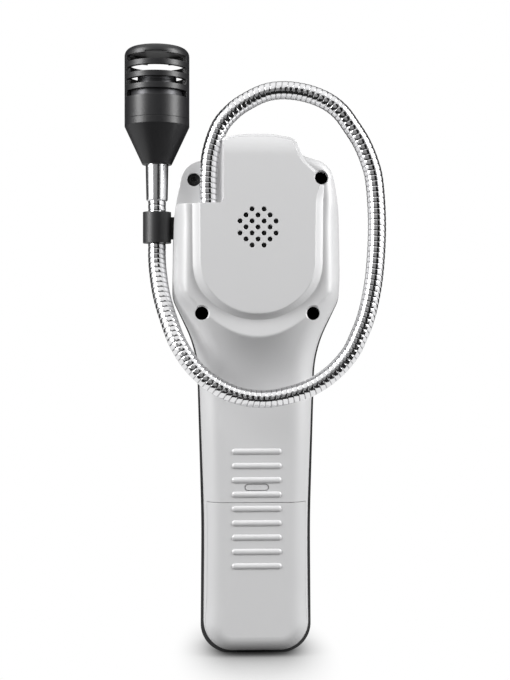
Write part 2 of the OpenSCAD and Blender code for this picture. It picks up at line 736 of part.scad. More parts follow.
sensor_h = 12.4;
module gas_sensor() color("#4a4a4e") translate([probe_x, probe_y, cap_z + 1 + header_t]) union() {
    cylinder(d = sensor_d, h = sensor_h - 1);
    cylinder(d = sensor_d - 1.6, h = sensor_h);
    translate([0, 0, sensor_h - 1]) rotate_extrude() translate([sensor_d / 2 - 1, 0]) circle(1);
}

slot_z = cap_top_z - 21.7;
slot_span = 132;
dome_drop = 1.6;
module sensor_cap() color(shell_black) translate([probe_x, probe_y, 0]) difference() {
    r = cap_d / 2;
    rotate_extrude() polygon(concat(
        corner_arc([0, cap_top_z], [r, cap_top_z - dome_drop], [r, cap_z], 3, fine[0]),
        [[r, cap_z], [r - cap_wall, cap_z]],
        corner_arc([r - cap_wall, cap_z], [r - cap_wall, cap_top_z - dome_drop - cap_wall],
            [0, cap_top_z - cap_wall], 1.4, fine[0]),
        [[0, cap_top_z - cap_wall], [0, cap_top_z]]));
    for (k = [0:slot_rows - 1], side = [0, 180]) {
        z = slot_z + k * slot_pitch;
        rotate_extrude(angle = slot_span, start = side + 90 - slot_span / 2)
            translate([r - 2 * cap_wall, z]) square([3 * cap_wall, slot_h]);
    }
    block([-4.3, -2 * r, slot_z + (slot_rows - 1) * slot_pitch + slot_h / 2],
        [4.3, 2 * r, slot_z + (slot_rows - 1) * slot_pitch + slot_h + 0.7]);
}

// Battery bay: two rows of two cells, each beside one that points the other way
bay_z0 = 9.2;
bay_z1 = seam_z + 0.2;
plate_t = 0.5;
holder_t = 1.1;
nub_r = 2.7;
nub_h = 1.2;
holder_in = cell_pitch / 2 + cell_d / 2 + play;
holder_front = front_depth - wall - holder_gap;

module battery_holder() color("#29292b") difference() {
    block([-holder_in - holder_t, -2, bay_z0 - holder_t],
        [holder_in + holder_t, holder_front, bay_z1 + holder_t]);
    block([-holder_in, -2 - cut, bay_z0], [holder_in, holder_front - holder_floor, bay_z1]);
}

cell_spots = [for (y = cell_y, x = [-1, 1]) [x * cell_pitch / 2, y, x]];
module cell(i) color("#8d9096") {
    p = cell_spots[i];
    up = p.z > 0;
    translate([p.x, p.y, up ? bay_z1 - plate_t - cell_len : bay_z0 + plate_t + cell_len])
        mirror([0, 0, up ? 0 : 1]) {
            cylinder(d = cell_d, h = cell_len - nub_h);
            cylinder(r = nub_r, h = cell_len);
        }
}
module battery_cell_1() cell(0);
module battery_cell_2() cell(1);
module battery_cell_3() cell(2);
module battery_cell_4() cell(3);

contact_w = 9;
spring_room = bay_z1 - bay_z0 - cell_len - plate_t;
module cell_springs() color(metal) for (p = cell_spots) {
    r = (spring_room - plate_t) / 2;
    base = p.z > 0 ? bay_z0 : bay_z1;
    translate([p.x, p.y, base]) mirror([0, 0, p.z > 0 ? 0 : 1]) {
        translate([-contact_w / 2, -contact_w / 2, 0]) cube([contact_w, contact_w, plate_t]);
        translate([-2.5, 0, plate_t + r - 0.1]) rotate([0, 90, 0]) difference() {
            cylinder(r = r, h = 5);
            translate([0, 0, -cut]) cylinder(r = r - 0.4, h = 5 + 2 * cut);
        }
    }
}

module cell_plates() color(metal) for (p = cell_spots) {
    z = p.z > 0 ? bay_z1 - plate_t : bay_z0;
    block([p.x - contact_w / 2, p.y - contact_w / 2, z],
        [p.x + contact_w / 2, p.y + contact_w / 2, z + plate_t]);
}

front_housing();
rear_housing();
battery_cover();
housing_screws();
screw_plugs();
gooseneck();
gooseneck_bush();
probe_clip();
probe_ferrule();
sensor_base();
sensor_cap();
gas_sensor();
sensor_header();
main_board();
board_screws();
key_switches();
buzzer();
front_panel();
leds_green();
leds_amber();
leds_red();
key_power();
key_reset();
key_mute();
key_battery();
key_up();
key_down();
battery_holder();
battery_cell_1();
battery_cell_2();
battery_cell_3();
battery_cell_4();
cell_springs();
cell_plates();
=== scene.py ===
"""Dresses the leak detector: moulded shells, ribbed conduit, slotted sensor head, keypad and studio."""

import json
import logging
import math
from dataclasses import dataclass, field
from enum import Enum
from typing import Callable, Iterator, Sequence

import bmesh
import bpy
from mathutils import Matrix, Vector

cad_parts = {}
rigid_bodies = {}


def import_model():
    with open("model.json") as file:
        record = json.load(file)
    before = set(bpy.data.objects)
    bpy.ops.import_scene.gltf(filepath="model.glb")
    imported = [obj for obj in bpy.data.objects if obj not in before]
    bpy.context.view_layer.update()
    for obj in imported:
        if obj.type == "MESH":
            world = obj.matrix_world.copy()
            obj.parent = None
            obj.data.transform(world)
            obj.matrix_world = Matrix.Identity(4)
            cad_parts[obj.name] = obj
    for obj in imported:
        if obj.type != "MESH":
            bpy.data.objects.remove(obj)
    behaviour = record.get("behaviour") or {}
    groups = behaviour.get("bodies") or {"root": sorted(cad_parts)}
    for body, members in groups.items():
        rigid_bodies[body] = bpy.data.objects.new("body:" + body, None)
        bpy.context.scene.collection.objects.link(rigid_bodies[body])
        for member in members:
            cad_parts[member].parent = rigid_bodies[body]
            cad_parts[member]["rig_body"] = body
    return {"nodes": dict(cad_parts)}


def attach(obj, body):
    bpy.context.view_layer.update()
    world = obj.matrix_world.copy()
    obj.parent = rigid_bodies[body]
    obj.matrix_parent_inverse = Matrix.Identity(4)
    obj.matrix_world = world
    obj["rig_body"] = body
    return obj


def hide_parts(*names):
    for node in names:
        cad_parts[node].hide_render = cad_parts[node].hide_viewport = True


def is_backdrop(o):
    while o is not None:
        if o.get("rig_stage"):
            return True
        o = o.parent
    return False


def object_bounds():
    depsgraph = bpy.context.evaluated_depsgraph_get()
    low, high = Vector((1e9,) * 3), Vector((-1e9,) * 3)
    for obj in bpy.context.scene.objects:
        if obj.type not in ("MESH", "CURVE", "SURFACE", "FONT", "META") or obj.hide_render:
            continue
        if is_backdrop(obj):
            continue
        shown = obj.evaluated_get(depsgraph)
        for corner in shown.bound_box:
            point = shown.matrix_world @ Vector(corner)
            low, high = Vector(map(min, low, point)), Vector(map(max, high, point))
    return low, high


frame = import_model()
CAD_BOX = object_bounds()

LOG = logging.getLogger("detector")
MM = 0.001
# Depth in millimetres past every face of the shells, where cuts end
CLEAR = 30.0
WHITE = (1.0, 1.0, 1.0, 1.0)
Pair = tuple[float, float]
Point = tuple[float, float, float]
Face = Sequence[int]
Level = Callable[[float, float], float]
Inputs = dict[str | int, object]


class Side(Enum):
    """The two shells, by the sign of their depth along Y."""

    REAR = -1
    FRONT = 1


class Cut(Enum):
    """Ways to combine two solids."""

    AWAY = "DIFFERENCE"
    JOIN = "UNION"
    KEEP = "INTERSECT"


def clamp(t: float) -> float:
    """Limits a value to the span from 0 to 1."""
    return min(1.0, max(0.0, t))


def smooth(low: float, high: float, t: float) -> float:
    """Eases from 0 at low to 1 at high."""
    u = clamp((t - low) / (high - low))
    return u * u * (3 - 2 * u)


# Node trees


@dataclass
class Graph:
    """Adds nodes to a tree, each input given as a value or as the socket that feeds it."""

    tree: bpy.types.NodeTree

    def add(self, kind: str, inputs: Inputs | None = None, **facts: object) -> bpy.types.Node:
        """Adds a node.

        Args:
            kind: Type of the node.
            inputs: Value or feeding socket of each input, by name or number.
            facts: Properties of the node.

        Returns:
            The node.
        """
        made = self.tree.nodes.new(kind)
        for key, value in facts.items():
            setattr(made, key, value)
        self.feed(made, inputs or {})
        return made

    def feed(self, node: bpy.types.Node, inputs: Inputs) -> None:
        """Sets inputs of a node.

        Args:
            node: Node whose inputs are set.
            inputs: Value or feeding socket of each input, by name or number.
        """
        for key, value in inputs.items():
            if isinstance(value, bpy.types.NodeSocket):
                self.tree.links.new(value, node.inputs[key])
            else:
                node.inputs[key].default_value = value

    def math(self, operation: str, a: object, b: object = 0.0) -> bpy.types.NodeSocket:
        """Adds a math node and gives its result."""
        return self.add("ShaderNodeMath", {0: a, 1: b}, operation=operation).outputs[0]

    def blend(self, share: object, first: object, second: object) -> bpy.types.NodeSocket:
        """Adds a mix of two shaders and gives its result."""
        return self.add("ShaderNodeMixShader", {0: share, 1: first, 2: second}).outputs[0]


@dataclass
class ShapeGraph(Graph):
    """Geometry node tree whose result becomes a plain mesh."""

    name: str
    tree: bpy.types.NodeTree = field(init=False)
    start: bpy.types.Node = field(init=False)
    end: bpy.types.Node = field(init=False)

    def __post_init__(self) -> None:
        """Starts the tree with a geometry input and output."""
        self.tree = bpy.data.node_groups.new(self.name, "GeometryNodeTree")
        for way in ("INPUT", "OUTPUT"):
            self.tree.interface.new_socket("Geometry", in_out=way, socket_type="NodeSocketGeometry")
        self.start = self.add("NodeGroupInput")
        self.end = self.add("NodeGroupOutput")

    def size(self, name: str, kind: str = "NodeSocketFloat") -> str:
        """Adds a named input and gives its identifier."""
        return self.tree.interface.new_socket(name, in_out="INPUT", socket_type=kind).identifier

    def capture(self, name: str, geometry: object, value: object) -> bpy.types.Node:
        """Keeps a value on the points of a geometry.

        Args:
            name: Name of the value.
            geometry: Socket of the geometry.
            value: Socket of the value.

        Returns:
            The node, with the geometry and the value as its outputs.
        """
        made = self.add("GeometryNodeCaptureAttribute", domain="POINT")
        made.capture_items.new("FLOAT", name)
        self.feed(made, {"Geometry": geometry, 1: value})
        return made

    def close(self, geometry: object, material: bpy.types.Material) -> None:
        """Ends the tree in real geometry with a material.

        Args:
            geometry: Socket of the geometry.
            material: Material of the result.
        """
        real = self.add("GeometryNodeRealizeInstances", {"Geometry": geometry}).outputs["Geometry"]
        paint = self.add("GeometryNodeSetMaterial", {"Geometry": real, "Material": material})
        self.feed(self.end, {0: paint.outputs["Geometry"]})

    def run(self, piece: bpy.types.Object, values: dict[str, object]) -> None:
        """Runs the tree on a piece and keeps the result as its mesh.

        Args:
            piece: Object whose mesh goes in.
            values: Value of each input, by identifier.
        """
        step = piece.modifiers.new(self.name, "NODES")
        step.node_group = self.tree
        for key, value in values.items():
            step[key] = value
        Maker.settle(piece)


# Finishes


@dataclass(frozen=True)
class Finish:
    """A moulded or metal surface with fine grain, broad mottling, softened edges and, where given a groove
    value, painted shade in its grooves.
    """

    name: str
    color: Point
    roughness: float = 0.45
    metallic: float = 0.0
    slot: str = ""
    grain_scale: float = 2200.0
    grain_bump: float = 0.05
    grain_depth: float = 0.2
    mottle: float = 0.03
    mottle_scale: float = 45.0
    gloss_spread: float = 0.12
    edge: float = 0.3
    specular: float = 0.5
    coat: float = 0.0
    # groove names a point value that darkens the base colour: painted shade in grooves.
    groove: str = ""
    groove_shade_tone: float = 0.01

    def build(self) -> bpy.types.Material:
        """Makes the node material.

        Returns:
            The material, made once and then reused.
        """
        made = bpy.data.materials.get(self.name)
        if made:
            return made
        material = bpy.data.materials.new(self.name)
        material.use_nodes = True
        graph = Graph(material.node_tree)
        place = graph.add("ShaderNodeTexCoord").outputs["Object"]
        kinds = ((self.mottle_scale, 3.0), (self.grain_scale, 2.0))
        noises = [{"Vector": place, "Scale": scale, "Detail": detail} for scale, detail in kinds]
        broad, fine = (graph.add("ShaderNodeTexNoise", noise).outputs["Fac"] for noise in noises)
        tones = {
            socket: (*(min(1.0, c * gain) for c in self.color), 1.0)
            for socket, gain in ((6, 1 - self.mottle), (7, 1 + self.mottle))
        }
        paint = graph.add("ShaderNodeMix", {"Factor": broad, **tones}, data_type="RGBA").outputs[2]
        # Painted shade: the base colour darkens where the groove value is high.
        if self.groove:
            groove_shade = graph.add("ShaderNodeAttribute", attribute_name=self.groove).outputs["Fac"]
            dark = (*[self.groove_shade_tone] * 3, 1.0)
            mixed = {"Factor": groove_shade, 6: paint, 7: dark}
            paint = graph.add("ShaderNodeMix", mixed, data_type="RGBA").outputs[2]
        limits = {
            "To Min": max(0.02, self.roughness * (1 - self.gloss_spread)),
            "To Max": min(1.0, self.roughness * (1 + self.gloss_spread)),
        }
        gloss = graph.add("ShaderNodeMapRange", {"Value": fine, **limits})
        grain = {"Height": fine, "Strength": self.grain_bump, "Distance": self.grain_depth * MM}
        if self.edge > 0:
            soft = graph.add("ShaderNodeBevel", {"Radius": self.edge * MM}, samples=6)
            grain["Normal"] = soft.outputs["Normal"]
        bump = graph.add("ShaderNodeBump", grain)
        graph.feed(
            material.node_tree.nodes["Principled BSDF"],
            {
                "Base Color": paint,
                "Metallic": self.metallic,
                "Roughness": gloss.outputs["Result"],
                "Specular IOR Level": self.specular,
                "Coat Weight": self.coat,
                "Normal": bump.outputs["Normal"],
            },
        )
        return material


GREY_SHELL = Finish(
    "grey_shell", (0.57, 0.57, 0.575), 0.43, slot="shell_grey", grain_scale=3000, mottle=0.012, specular=0.95
)
BLACK_SHELL = Finish("black_shell", (0.018, 0.018, 0.019), 0.42, slot="shell_black", grain_bump=0.08)
BLACK_HEAD = Finish(
    "black_head", (0.011, 0.011, 0.012), 0.38, slot="head_black",
    grain_scale=1500, grain_bump=0.06, specular=0.42,
)
BLACK_PLUG = Finish("black_plug", (0.0015, 0.0015, 0.0015), 0.8, slot="plug_black", specular=0.0)
BLACK_SCREW = Finish("black_screw", (0.014, 0.014, 0.015), 0.28, 0.4, "screw_black")
# The conduit's clefts get painted shade through its groove value.
BRIGHT_CONDUIT = Finish(
    "bright_conduit", (0.78, 0.78, 0.79), 0.12, 1.0, "conduit_metal",
    grain_scale=900, grain_bump=0.02, edge=0.0, groove="cleft",
)
BRIGHT_FERRULE = Finish(
    "bright_ferrule", (0.72, 0.72, 0.73), 0.2, 1.0, "ferrule_metal", grain_scale=1200, grain_bump=0.03
)
TURNED_BRASS = Finish("turned_brass", (0.62, 0.46, 0.2), 0.3, 1.0)
SENSOR_CAN = Finish("sensor_can", (0.05, 0.05, 0.053), 0.38, 0.7, "sensor_grey")
BOARD = Finish("board", (0.02, 0.13, 0.05), 0.35, mottle=0.1)
PANEL_FILM = Finish("panel_film", (0.045, 0.05, 0.056), 0.32, slot="panel_grey", mottle=0.04)
LAMP_GREEN = Finish("lamp_green", (0.04, 0.4, 0.07), 0.12, coat=0.5)
LAMP_AMBER = Finish("lamp_amber", (0.75, 0.33, 0.02), 0.12, coat=0.5)
LAMP_RED = Finish("lamp_red", (0.6, 0.03, 0.02), 0.12, coat=0.5)
KEY_RED = Finish("key_red", (0.46, 0.03, 0.02), 0.5, slot="key_red", grain_bump=0.1)
KEY_GREY = Finish("key_grey", (0.58, 0.585, 0.59), 0.5, slot="key_grey", grain_bump=0.1)
CELL_CASE = Finish("cell_case", (0.30, 0.31, 0.33), 0.3, 0.8, "cell_case")
CONTACT = Finish("contact", (0.6, 0.6, 0.62), 0.25, 1.0)


# Mesh tools


class Maker:
    """Turns lists of points in millimetres into finished pieces."""

    @staticmethod
    def solid(name: str, points: Sequence[Point], faces: Sequence[Face]) -> bpy.types.Object:
        """Makes an object from points and faces.

        Args:
            name: Name of the object.
            points: Corners in millimetres.
            faces: Corner numbers of each face.

        Returns:
            The object, its faces turned outwards.
        """
        mesh = bpy.data.meshes.new(name)
        mesh.from_pydata([tuple(c * MM for c in p) for p in points], [], [tuple(f) for f in faces])
        work = bmesh.new()
        work.from_mesh(mesh)
        bmesh.ops.remove_doubles(work, verts=work.verts, dist=1e-7)
        bmesh.ops.recalc_face_normals(work, faces=work.faces)
        work.to_mesh(mesh)
        work.free()
        made = bpy.data.objects.new(name, mesh)
        bpy.context.scene.collection.objects.link(made)
        return made

    @staticmethod
    def block(name: str, low: Point, high: Point) -> bpy.types.Object:
        """Makes a block.

        Args:
            name: Name of the object.
            low: Corner with the least coordinates.
            high: Corner with the greatest coordinates.

        Returns:
            The block.
        """
        x, y, z = zip(low, high)
        points = [(x[i], y[j], z[k]) for i in (0, 1) for j in (0, 1) for k in (0, 1)]
        faces = [(0, 1, 3, 2), (4, 6, 7, 5), (0, 4, 5, 1), (2, 3, 7, 6), (0, 2, 6, 4), (1, 5, 7, 3)]
        return Maker.solid(name, points, faces)

    @staticmethod
    def prism(name: str, outline: Sequence[Pair], y0: float, y1: float) -> bpy.types.Object:
        """Makes a prism along Y from an outline in the XZ plane."""
        return Maker.stack(name, [[(x, y, z) for x, z in outline] for y in (y0, y1)])

    @staticmethod
    def stack(name: str, rings: Sequence[Sequence[Point]]) -> bpy.types.Object:
        """Makes a solid from a stack of contours with the same count of points.

        Args:
            name: Name of the object.
            rings: Contours from one end to the other.

        Returns:
            The solid.
        """
        n, last = len(rings[0]), len(rings) - 1
        faces: list[Face] = [tuple(range(n)), tuple(range(last * n, (last + 1) * n))]
        for k in range(last):
            faces += [
                (k * n + j, k * n + (j + 1) % n, (k + 1) * n + (j + 1) % n, (k + 1) * n + j) for j in range(n)
            ]
        return Maker.solid(name, [p for ring in rings for p in ring], faces)

    @staticmethod
    def disc(x: float, z: float, r: float, sides: int = 48) -> list[Pair]:
        """Gives the corners of a round outline."""
        turn = math.tau / sides
        return [(x + r * math.cos(i * turn), z + r * math.sin(i * turn)) for i in range(sides)]

    @staticmethod
    def pill(x: float, z: float, length: float, height: float) -> list[Pair]:
        """Gives an outline with round ends.

        Args:
            x: Middle along X.
            z: Middle along Z.
            length: Length over both ends.
            height: Height, which is the width of the round ends.

        Returns:
            Corners of the outline.
        """
        r, reach, steps = height / 2, (length - height) / 2, 14
        outline = []
        for side in (1, -1):
            for i in range(steps + 1):
                a = math.pi * (i / steps - 0.5)
                outline.append((x + side * (reach + r * math.cos(a)), z + side * r * math.sin(a)))
        return outline

    @staticmethod
    def lathe(name: str, profile: Sequence[Pair], axis: Pair, sides: int) -> bpy.types.Object:
        """Turns a profile about an upright axis.

        Args:
            name: Name of the object.
            profile: Radius and height of each corner of a closed loop.
            axis: X and Y of the axis.
            sides: Steps round the axis.

        Returns:
            The turned solid.
        """
        n = len(profile)
        points = []
        for i in range(sides):
            a = math.tau * i / sides
            points += [(axis[0] + r * math.cos(a), axis[1] + r * math.sin(a), z) for r, z in profile]
        faces = []
        for i in range(sides):
            here, there = i * n, (i + 1) % sides * n
            for j in range(n):
                k = (j + 1) % n
                if profile[j][0] + profile[k][0] > 1e-6:
                    faces.append((here + j, there + j, there + k, here + k))
        return Maker.solid(name, points, faces)

    @staticmethod
    def combine(base: bpy.types.Object, tool: bpy.types.Object, way: Cut) -> None:
        """Combines a tool solid with a base, and removes the tool.

        Args:
            base: Solid that is changed.
            tool: Solid that changes it.
            way: How the two are combined.
        """
        step = base.modifiers.new("combine", "BOOLEAN")
        step.operation = way.value
        step.solver = "EXACT"
        step.object = tool
        Maker.settle(base)
        bpy.data.objects.remove(tool)

    @staticmethod
    def settle(piece: bpy.types.Object) -> None:
        """Turns the modifiers of a piece into plain mesh.

        Args:
            piece: Piece with live modifiers.
        """
        graph = bpy.context.evaluated_depsgraph_get()
        graph.update()
        mesh = bpy.data.meshes.new_from_object(piece.evaluated_get(graph))
        piece.modifiers.clear()
        piece.data = mesh

    @staticmethod
    def shade(piece: bpy.types.Object, angle: float) -> None:
        """Smooths the surface and weighs its normals by face area.

        Args:
            piece: Piece to smooth.
            angle: Edges above this angle in degrees stay sharp.
        """
        piece.data.shade_smooth()
        piece.data.set_sharp_from_angle(angle=math.radians(angle))
        even = piece.modifiers.new("even", "WEIGHTED_NORMAL")
        even.keep_sharp = True
        Maker.settle(piece)

    @staticmethod
    def dress(piece: bpy.types.Object, finish: Finish) -> None:
        """Gives a piece one finish."""
        piece.data.materials.clear()
        piece.data.materials.append(finish.build())

    @staticmethod
    def place(piece: bpy.types.Object, body: str, slot: str, *nodes: str) -> None:
        """Hands a finished piece to the frame.

        Args:
            piece: Finished piece.
            body: Body that it rides on.
            slot: Slot of its finish, which is not used.
            nodes: Solids that it stands for.
        """
        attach(piece, body)
        if nodes:
            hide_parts(*nodes)
        LOG.info("%s: %d faces on %s", piece.name, len(piece.data.polygons), body)

    @staticmethod
    def complete(
        piece: bpy.types.Object, finish: Finish, *nodes: str, body: str = "body", angle: float = 32.0
    ) -> None:
        """Shades and dresses a piece and hands it to the frame.

        Args:
            piece: Piece whose mesh is done.
            finish: Finish of the piece.
            nodes: Solids that it stands for.
            body: Body that it rides on.
            angle: Edges above this angle in degrees stay sharp.
        """
        Maker.shade(piece, angle)
        Maker.dress(piece, finish)
        Maker.place(piece, body, finish.slot, *nodes)

    @staticmethod
    def softened(node: str, name: str, finish: Finish, width: float) -> None:
        """Copies a solid, rounds its edges and lets the copy replace it.

        Args:
            node: Solid to copy.
            name: Name of the new piece.
            finish: Finish of the piece.
            width: Width of the rounded edges in millimetres.
        """
        source = frame["nodes"][node]
        piece = bpy.data.objects.new(name, source.data.copy())
        bpy.context.scene.collection.objects.link(piece)
        work = bmesh.new()
        work.from_mesh(piece.data)
        bmesh.ops.remove_doubles(work, verts=work.verts, dist=2e-6)
        bmesh.ops.dissolve_limit(work, angle_limit=math.radians(1.0), verts=work.verts, edges=work.edges)
        work.to_mesh(piece.data)
        work.free()
        if piece.data.has_custom_normals:
            piece.data.normals_split_custom_set([(0.0, 0.0, 0.0)] * len(piece.data.loops))
        bevel = piece.modifiers.new("edge", "BEVEL")
        bevel.width = width * MM
        bevel.segments = 3
        bevel.limit_method = "ANGLE"
        bevel.angle_limit = math.radians(40)
        bevel.use_clamp_overlap = True
        Maker.settle(piece)
        Maker.complete(piece, finish, node, body=source["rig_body"], angle=45)


# Housing


@dataclass(frozen=True)
class Detail:
    """Fineness of a lofted form."""

    error: float
    edge_steps: int
    columns: int
    gap: float


FINE = Detail(0.008, 10, 29, 1.6)
COARSE = Detail(0.3, 3, 3, 8.0)


@dataclass
class Outline:
    """Half outline that is rounded at its corners, each given as x, z and radius."""

    corners: Sequence[Point]
    error: float
    fine_span: Pair = (78.0, 152.0)

    def rounded(self) -> list[Vector]:
        """Rounds the corners.

        Returns:
            Points of the rounded outline.
        """
        line: list[Vector] = []
        flat = [Vector(c[:2]) for c in self.corners]
        for i in range(1, len(flat) - 1):
            line += self.arc(flat[i - 1], flat[i], flat[i + 1], self.corners[i][2])
        return line

    def arc(self, a: Vector, b: Vector, c: Vector, r: float) -> list[Vector]:
        """Rounds the corner b between a and c.

        Args:
            a: Corner before.
            b: Corner to round.
            c: Corner after.
            r: Radius.

        Returns:
            Points of the arc.
        """
        u, v = (a - b).normalized(), (c - b).normalized()
        half = math.acos(u.dot(v)) / 2
        centre = b + (u + v).normalized() * r / math.sin(half)
        p, q = b + u * r / math.tan(half) - centre, b + v * r / math.tan(half) - centre
        start = math.atan2(p.y, p.x)
        turn = (math.atan2(q.y, q.x) - start + 3 * math.pi) % math.tau - math.pi
        steps = max(1, math.ceil(abs(turn) / (2 * math.acos(1 - self.error / r))))
        return [
            centre + r * Vector((math.cos(start + turn * k / steps), math.sin(start + turn * k / steps)))
            for k in range(steps + 1)
        ]

    def divided(self, gap: float) -> list[Vector]:
        """Divides the long runs of the rounded outline.

        Args:
            gap: Longest run beside the neck. Elsewhere it is four times as long.

        Returns:
            Points of the divided outline.
        """
        low, high = self.fine_span
        line = self.rounded()
        made = []
        for p, q in zip(line, line[1:]):
            near = low < p.y < high or low < q.y < high
            n = max(1, math.ceil((q - p).length / (gap if near else 4 * gap)))
            made += [p + (q - p) * k / n for k in range(n)]
        return made + [line[-1]]

    @staticmethod
    def inward(line: Sequence[Vector]) -> list[Vector]:
        """Finds the normals that point into a half outline.

        Args:
            line: Points of the outline.

        Returns:
            Normal at each point.
        """
        ends = [Vector((0, line[0].y)), *line, Vector((0, line[-1].y))]
        normals = []
        for i in range(1, len(line) + 1):
            t = (ends[i] - ends[i - 1]).normalized() + (ends[i + 1] - ends[i]).normalized()
            t.normalize()
            normals.append(Vector((t.y, -t.x)))
        return normals

    @staticmethod
    def stack_faces(n: int, levels: int) -> list[Face]:
        """Gives the faces round a stack of contours and across its lower end.

        Args:
            n: Points in half a contour.
            levels: Count of contours.

        Returns:
            Corner numbers of each face.
        """
        m = 2 * n
        faces: list[Face] = []
        for k in range(levels - 1):
            for j in range(m):
                a, b = k * m + j, k * m + (j + 1) % m
                faces.append((a, b, b + m, a + m))
        return faces + [(i, m - 1 - i, m - 2 - i, i + 1) for i in range(n - 1)]


@dataclass
class Housing:
    """Outline and depth of the two shells, in millimetres."""

    length: float = 211.0
    tab_w: float = 29.8
    tab_flat: float = 6.0
    tab_bow: float = 1.6
    tab_slant: float = 2.7
    shoulder: float = 12.0
    shoulder_in: float = 4.7
    head_w: float = 68.2
    head_taper: float = 0.5
    taper_rise: float = 49.0
    widest_rise: float = 15.6
    neck_w: float = 47.4
    neck_drop: float = 5.5
    waist_w: float = 42.4
    waist_z: float = 55.0
    foot_w: float = 43.2
    foot_r: float = 12.0
    foot_lift: float = 1.9
    rim_step: float = 1.2
    head_step: float = 0.3
    wall: float = 2.2
    handle_depth: float = 10.0
    head_depth: float = 20.2
    plateau_depth: float = 23.0
    front_depth: float = 25.4
    face_depth: float = 23.0
    face_z: float = 100.0
    lip_z: float = 130.0
    lip_curve: float = 0.021
    lip_roll: float = 1.2
    roll_run: float = 11.0
    roll_span: Pair = (10.0, 30.0)
    neck_end_z: float = 104.0
    neck_power: float = 1.8
    head_edge: float = 7.2
    head_slope: float = 1.0
    shoulder_edge: float = 5.0
    tab_edge: float = 3.0
    handle_edge: float = 9.4
    foot_edge: float = 6.5
    front_edge: float = 5.0
    foot_span: Pair = (2.0, 26.0)
    head_span: Pair = (110.0, 150.0)
    slope_span: Pair = (110.0, 145.0)
    shoulder_span: Pair = (174.0, 192.0)
    bow_start: Pair = (85.0, 108.0)
    bow_end: Pair = (150.0, 172.0)

    def corners(self, head: float, handle: float, base: float) -> list[Point]:
        """Gives the corners of the right half from the top down.

        Args:
            head: How far the outline grows beside the head.
            handle: How far it grows beside the handle.
            base: Height of the foot.

        Returns:
            X, Z and radius of each corner.
        """
        return [
            (0, self.length, 0),
            (self.tab_flat, self.length, 30),
            (self.tab_w / 2 + head, self.length - self.tab_bow, 4.5),
            (self.tab_w / 2 + self.tab_slant + head, self.length - 0.7 * self.shoulder, 3.2),
            (self.head_w / 2 - self.shoulder_in + head, self.length - self.shoulder, 9),
            (self.head_w / 2 - self.head_taper + head, self.lip_z + self.taper_rise, 60),
            (self.head_w / 2 + head, self.lip_z + self.widest_rise, 12),
            (self.neck_w / 2 + 0.6 * head + 0.4 * handle, self.lip_z - self.neck_drop, 50),
            (self.waist_w / 2 + handle, self.waist_z, 600),
            (self.foot_w / 2 + handle, base, self.foot_r),
            (0, base, 0),
        ]

    def rear_level(self, x: float, z: float) -> float:
        """Finds the depth of the rear shell, with the neck that falls from the lip to the handle.

        Args:
            x: Place across the shell.
            z: Height.

        Returns:
            The depth.
        """
        run = z - self.lip_curve * x * x
        t = clamp((run - self.neck_end_z) / (self.lip_z - self.neck_end_z))
        roll = self.lip_roll * (1 - smooth(*self.roll_span, abs(x)))
        roll *= clamp(1 - (run - self.lip_z) / self.roll_run)
        return self.handle_depth + (self.head_depth - self.handle_depth + roll) * t**self.neck_power

    def front_level(self, x: float, z: float) -> float:
        """Gives the depth of the front shell."""
        return self.front_depth + (self.face_depth - self.front_depth) * smooth(self.face_z, self.lip_z, z)

    def edge(self, z: float, side: Side) -> float:
        """Finds the width of the rounded edge of one shell.

        Args:
            z: Height.
            side: Which shell.

        Returns:
            The width.
        """
        handle, head = self.front_edge, self.shoulder_edge
        if side is Side.REAR:
            handle, head = self.handle_edge, self.head_edge
            handle += (self.foot_edge - handle) * (1 - smooth(*self.foot_span, z))
        high = smooth(self.length - 2 * self.shoulder, self.length - self.shoulder / 2, z)
        return (
            handle
            + (head - handle) * smooth(*self.head_span, z)
            + (self.shoulder_edge - head) * smooth(*self.shoulder_span, z)
            + (self.tab_edge - self.shoulder_edge) * high
        )

    def slope(self, z: float, side: Side) -> float:
        """Gives the height of the rounded edge of one shell, taller beside the rear of the head."""
        tall = self.head_slope * smooth(*self.slope_span, z) * (1 - smooth(*self.shoulder_span, z))
        return self.edge(z, side) * (1 + (tall if side is Side.REAR else 0))

    def form(self, name: str, side: Side, skin: float, detail: Detail) -> bpy.types.Object:
        """Lofts one shell as a solid.

        Args:
            name: Name of the object.
            side: Which shell.
            skin: How far the form lies inside the shell's surface.
            detail: Fineness of the form.

        Returns:
            The solid.
        """
        rear = side is Side.REAR
        growth = (0, 0, self.foot_lift) if rear else (self.head_step, self.rim_step, 0)
        level = self.rear_level if rear else self.front_level
        line = Outline(self.corners(*growth), detail.error).divided(detail.gap)
        normals = Outline.inward(line)
        n = len(line)

        def ring(inset: Callable[[float], float], depth: Level) -> list[Point]:
            """Makes one closed contour of the form.

            Args:
                inset: Inset from the outline by height.
                depth: Depth by place.

            Returns:
                Points of the contour.
            """
            right = []
            for p, q in zip(line, normals):
                s = p + q * inset(p.y)
                right.append((s.x, side.value * depth(s.x, s.y), s.y))
            return right + [(-x, y, z) for x, y, z in reversed(right)]

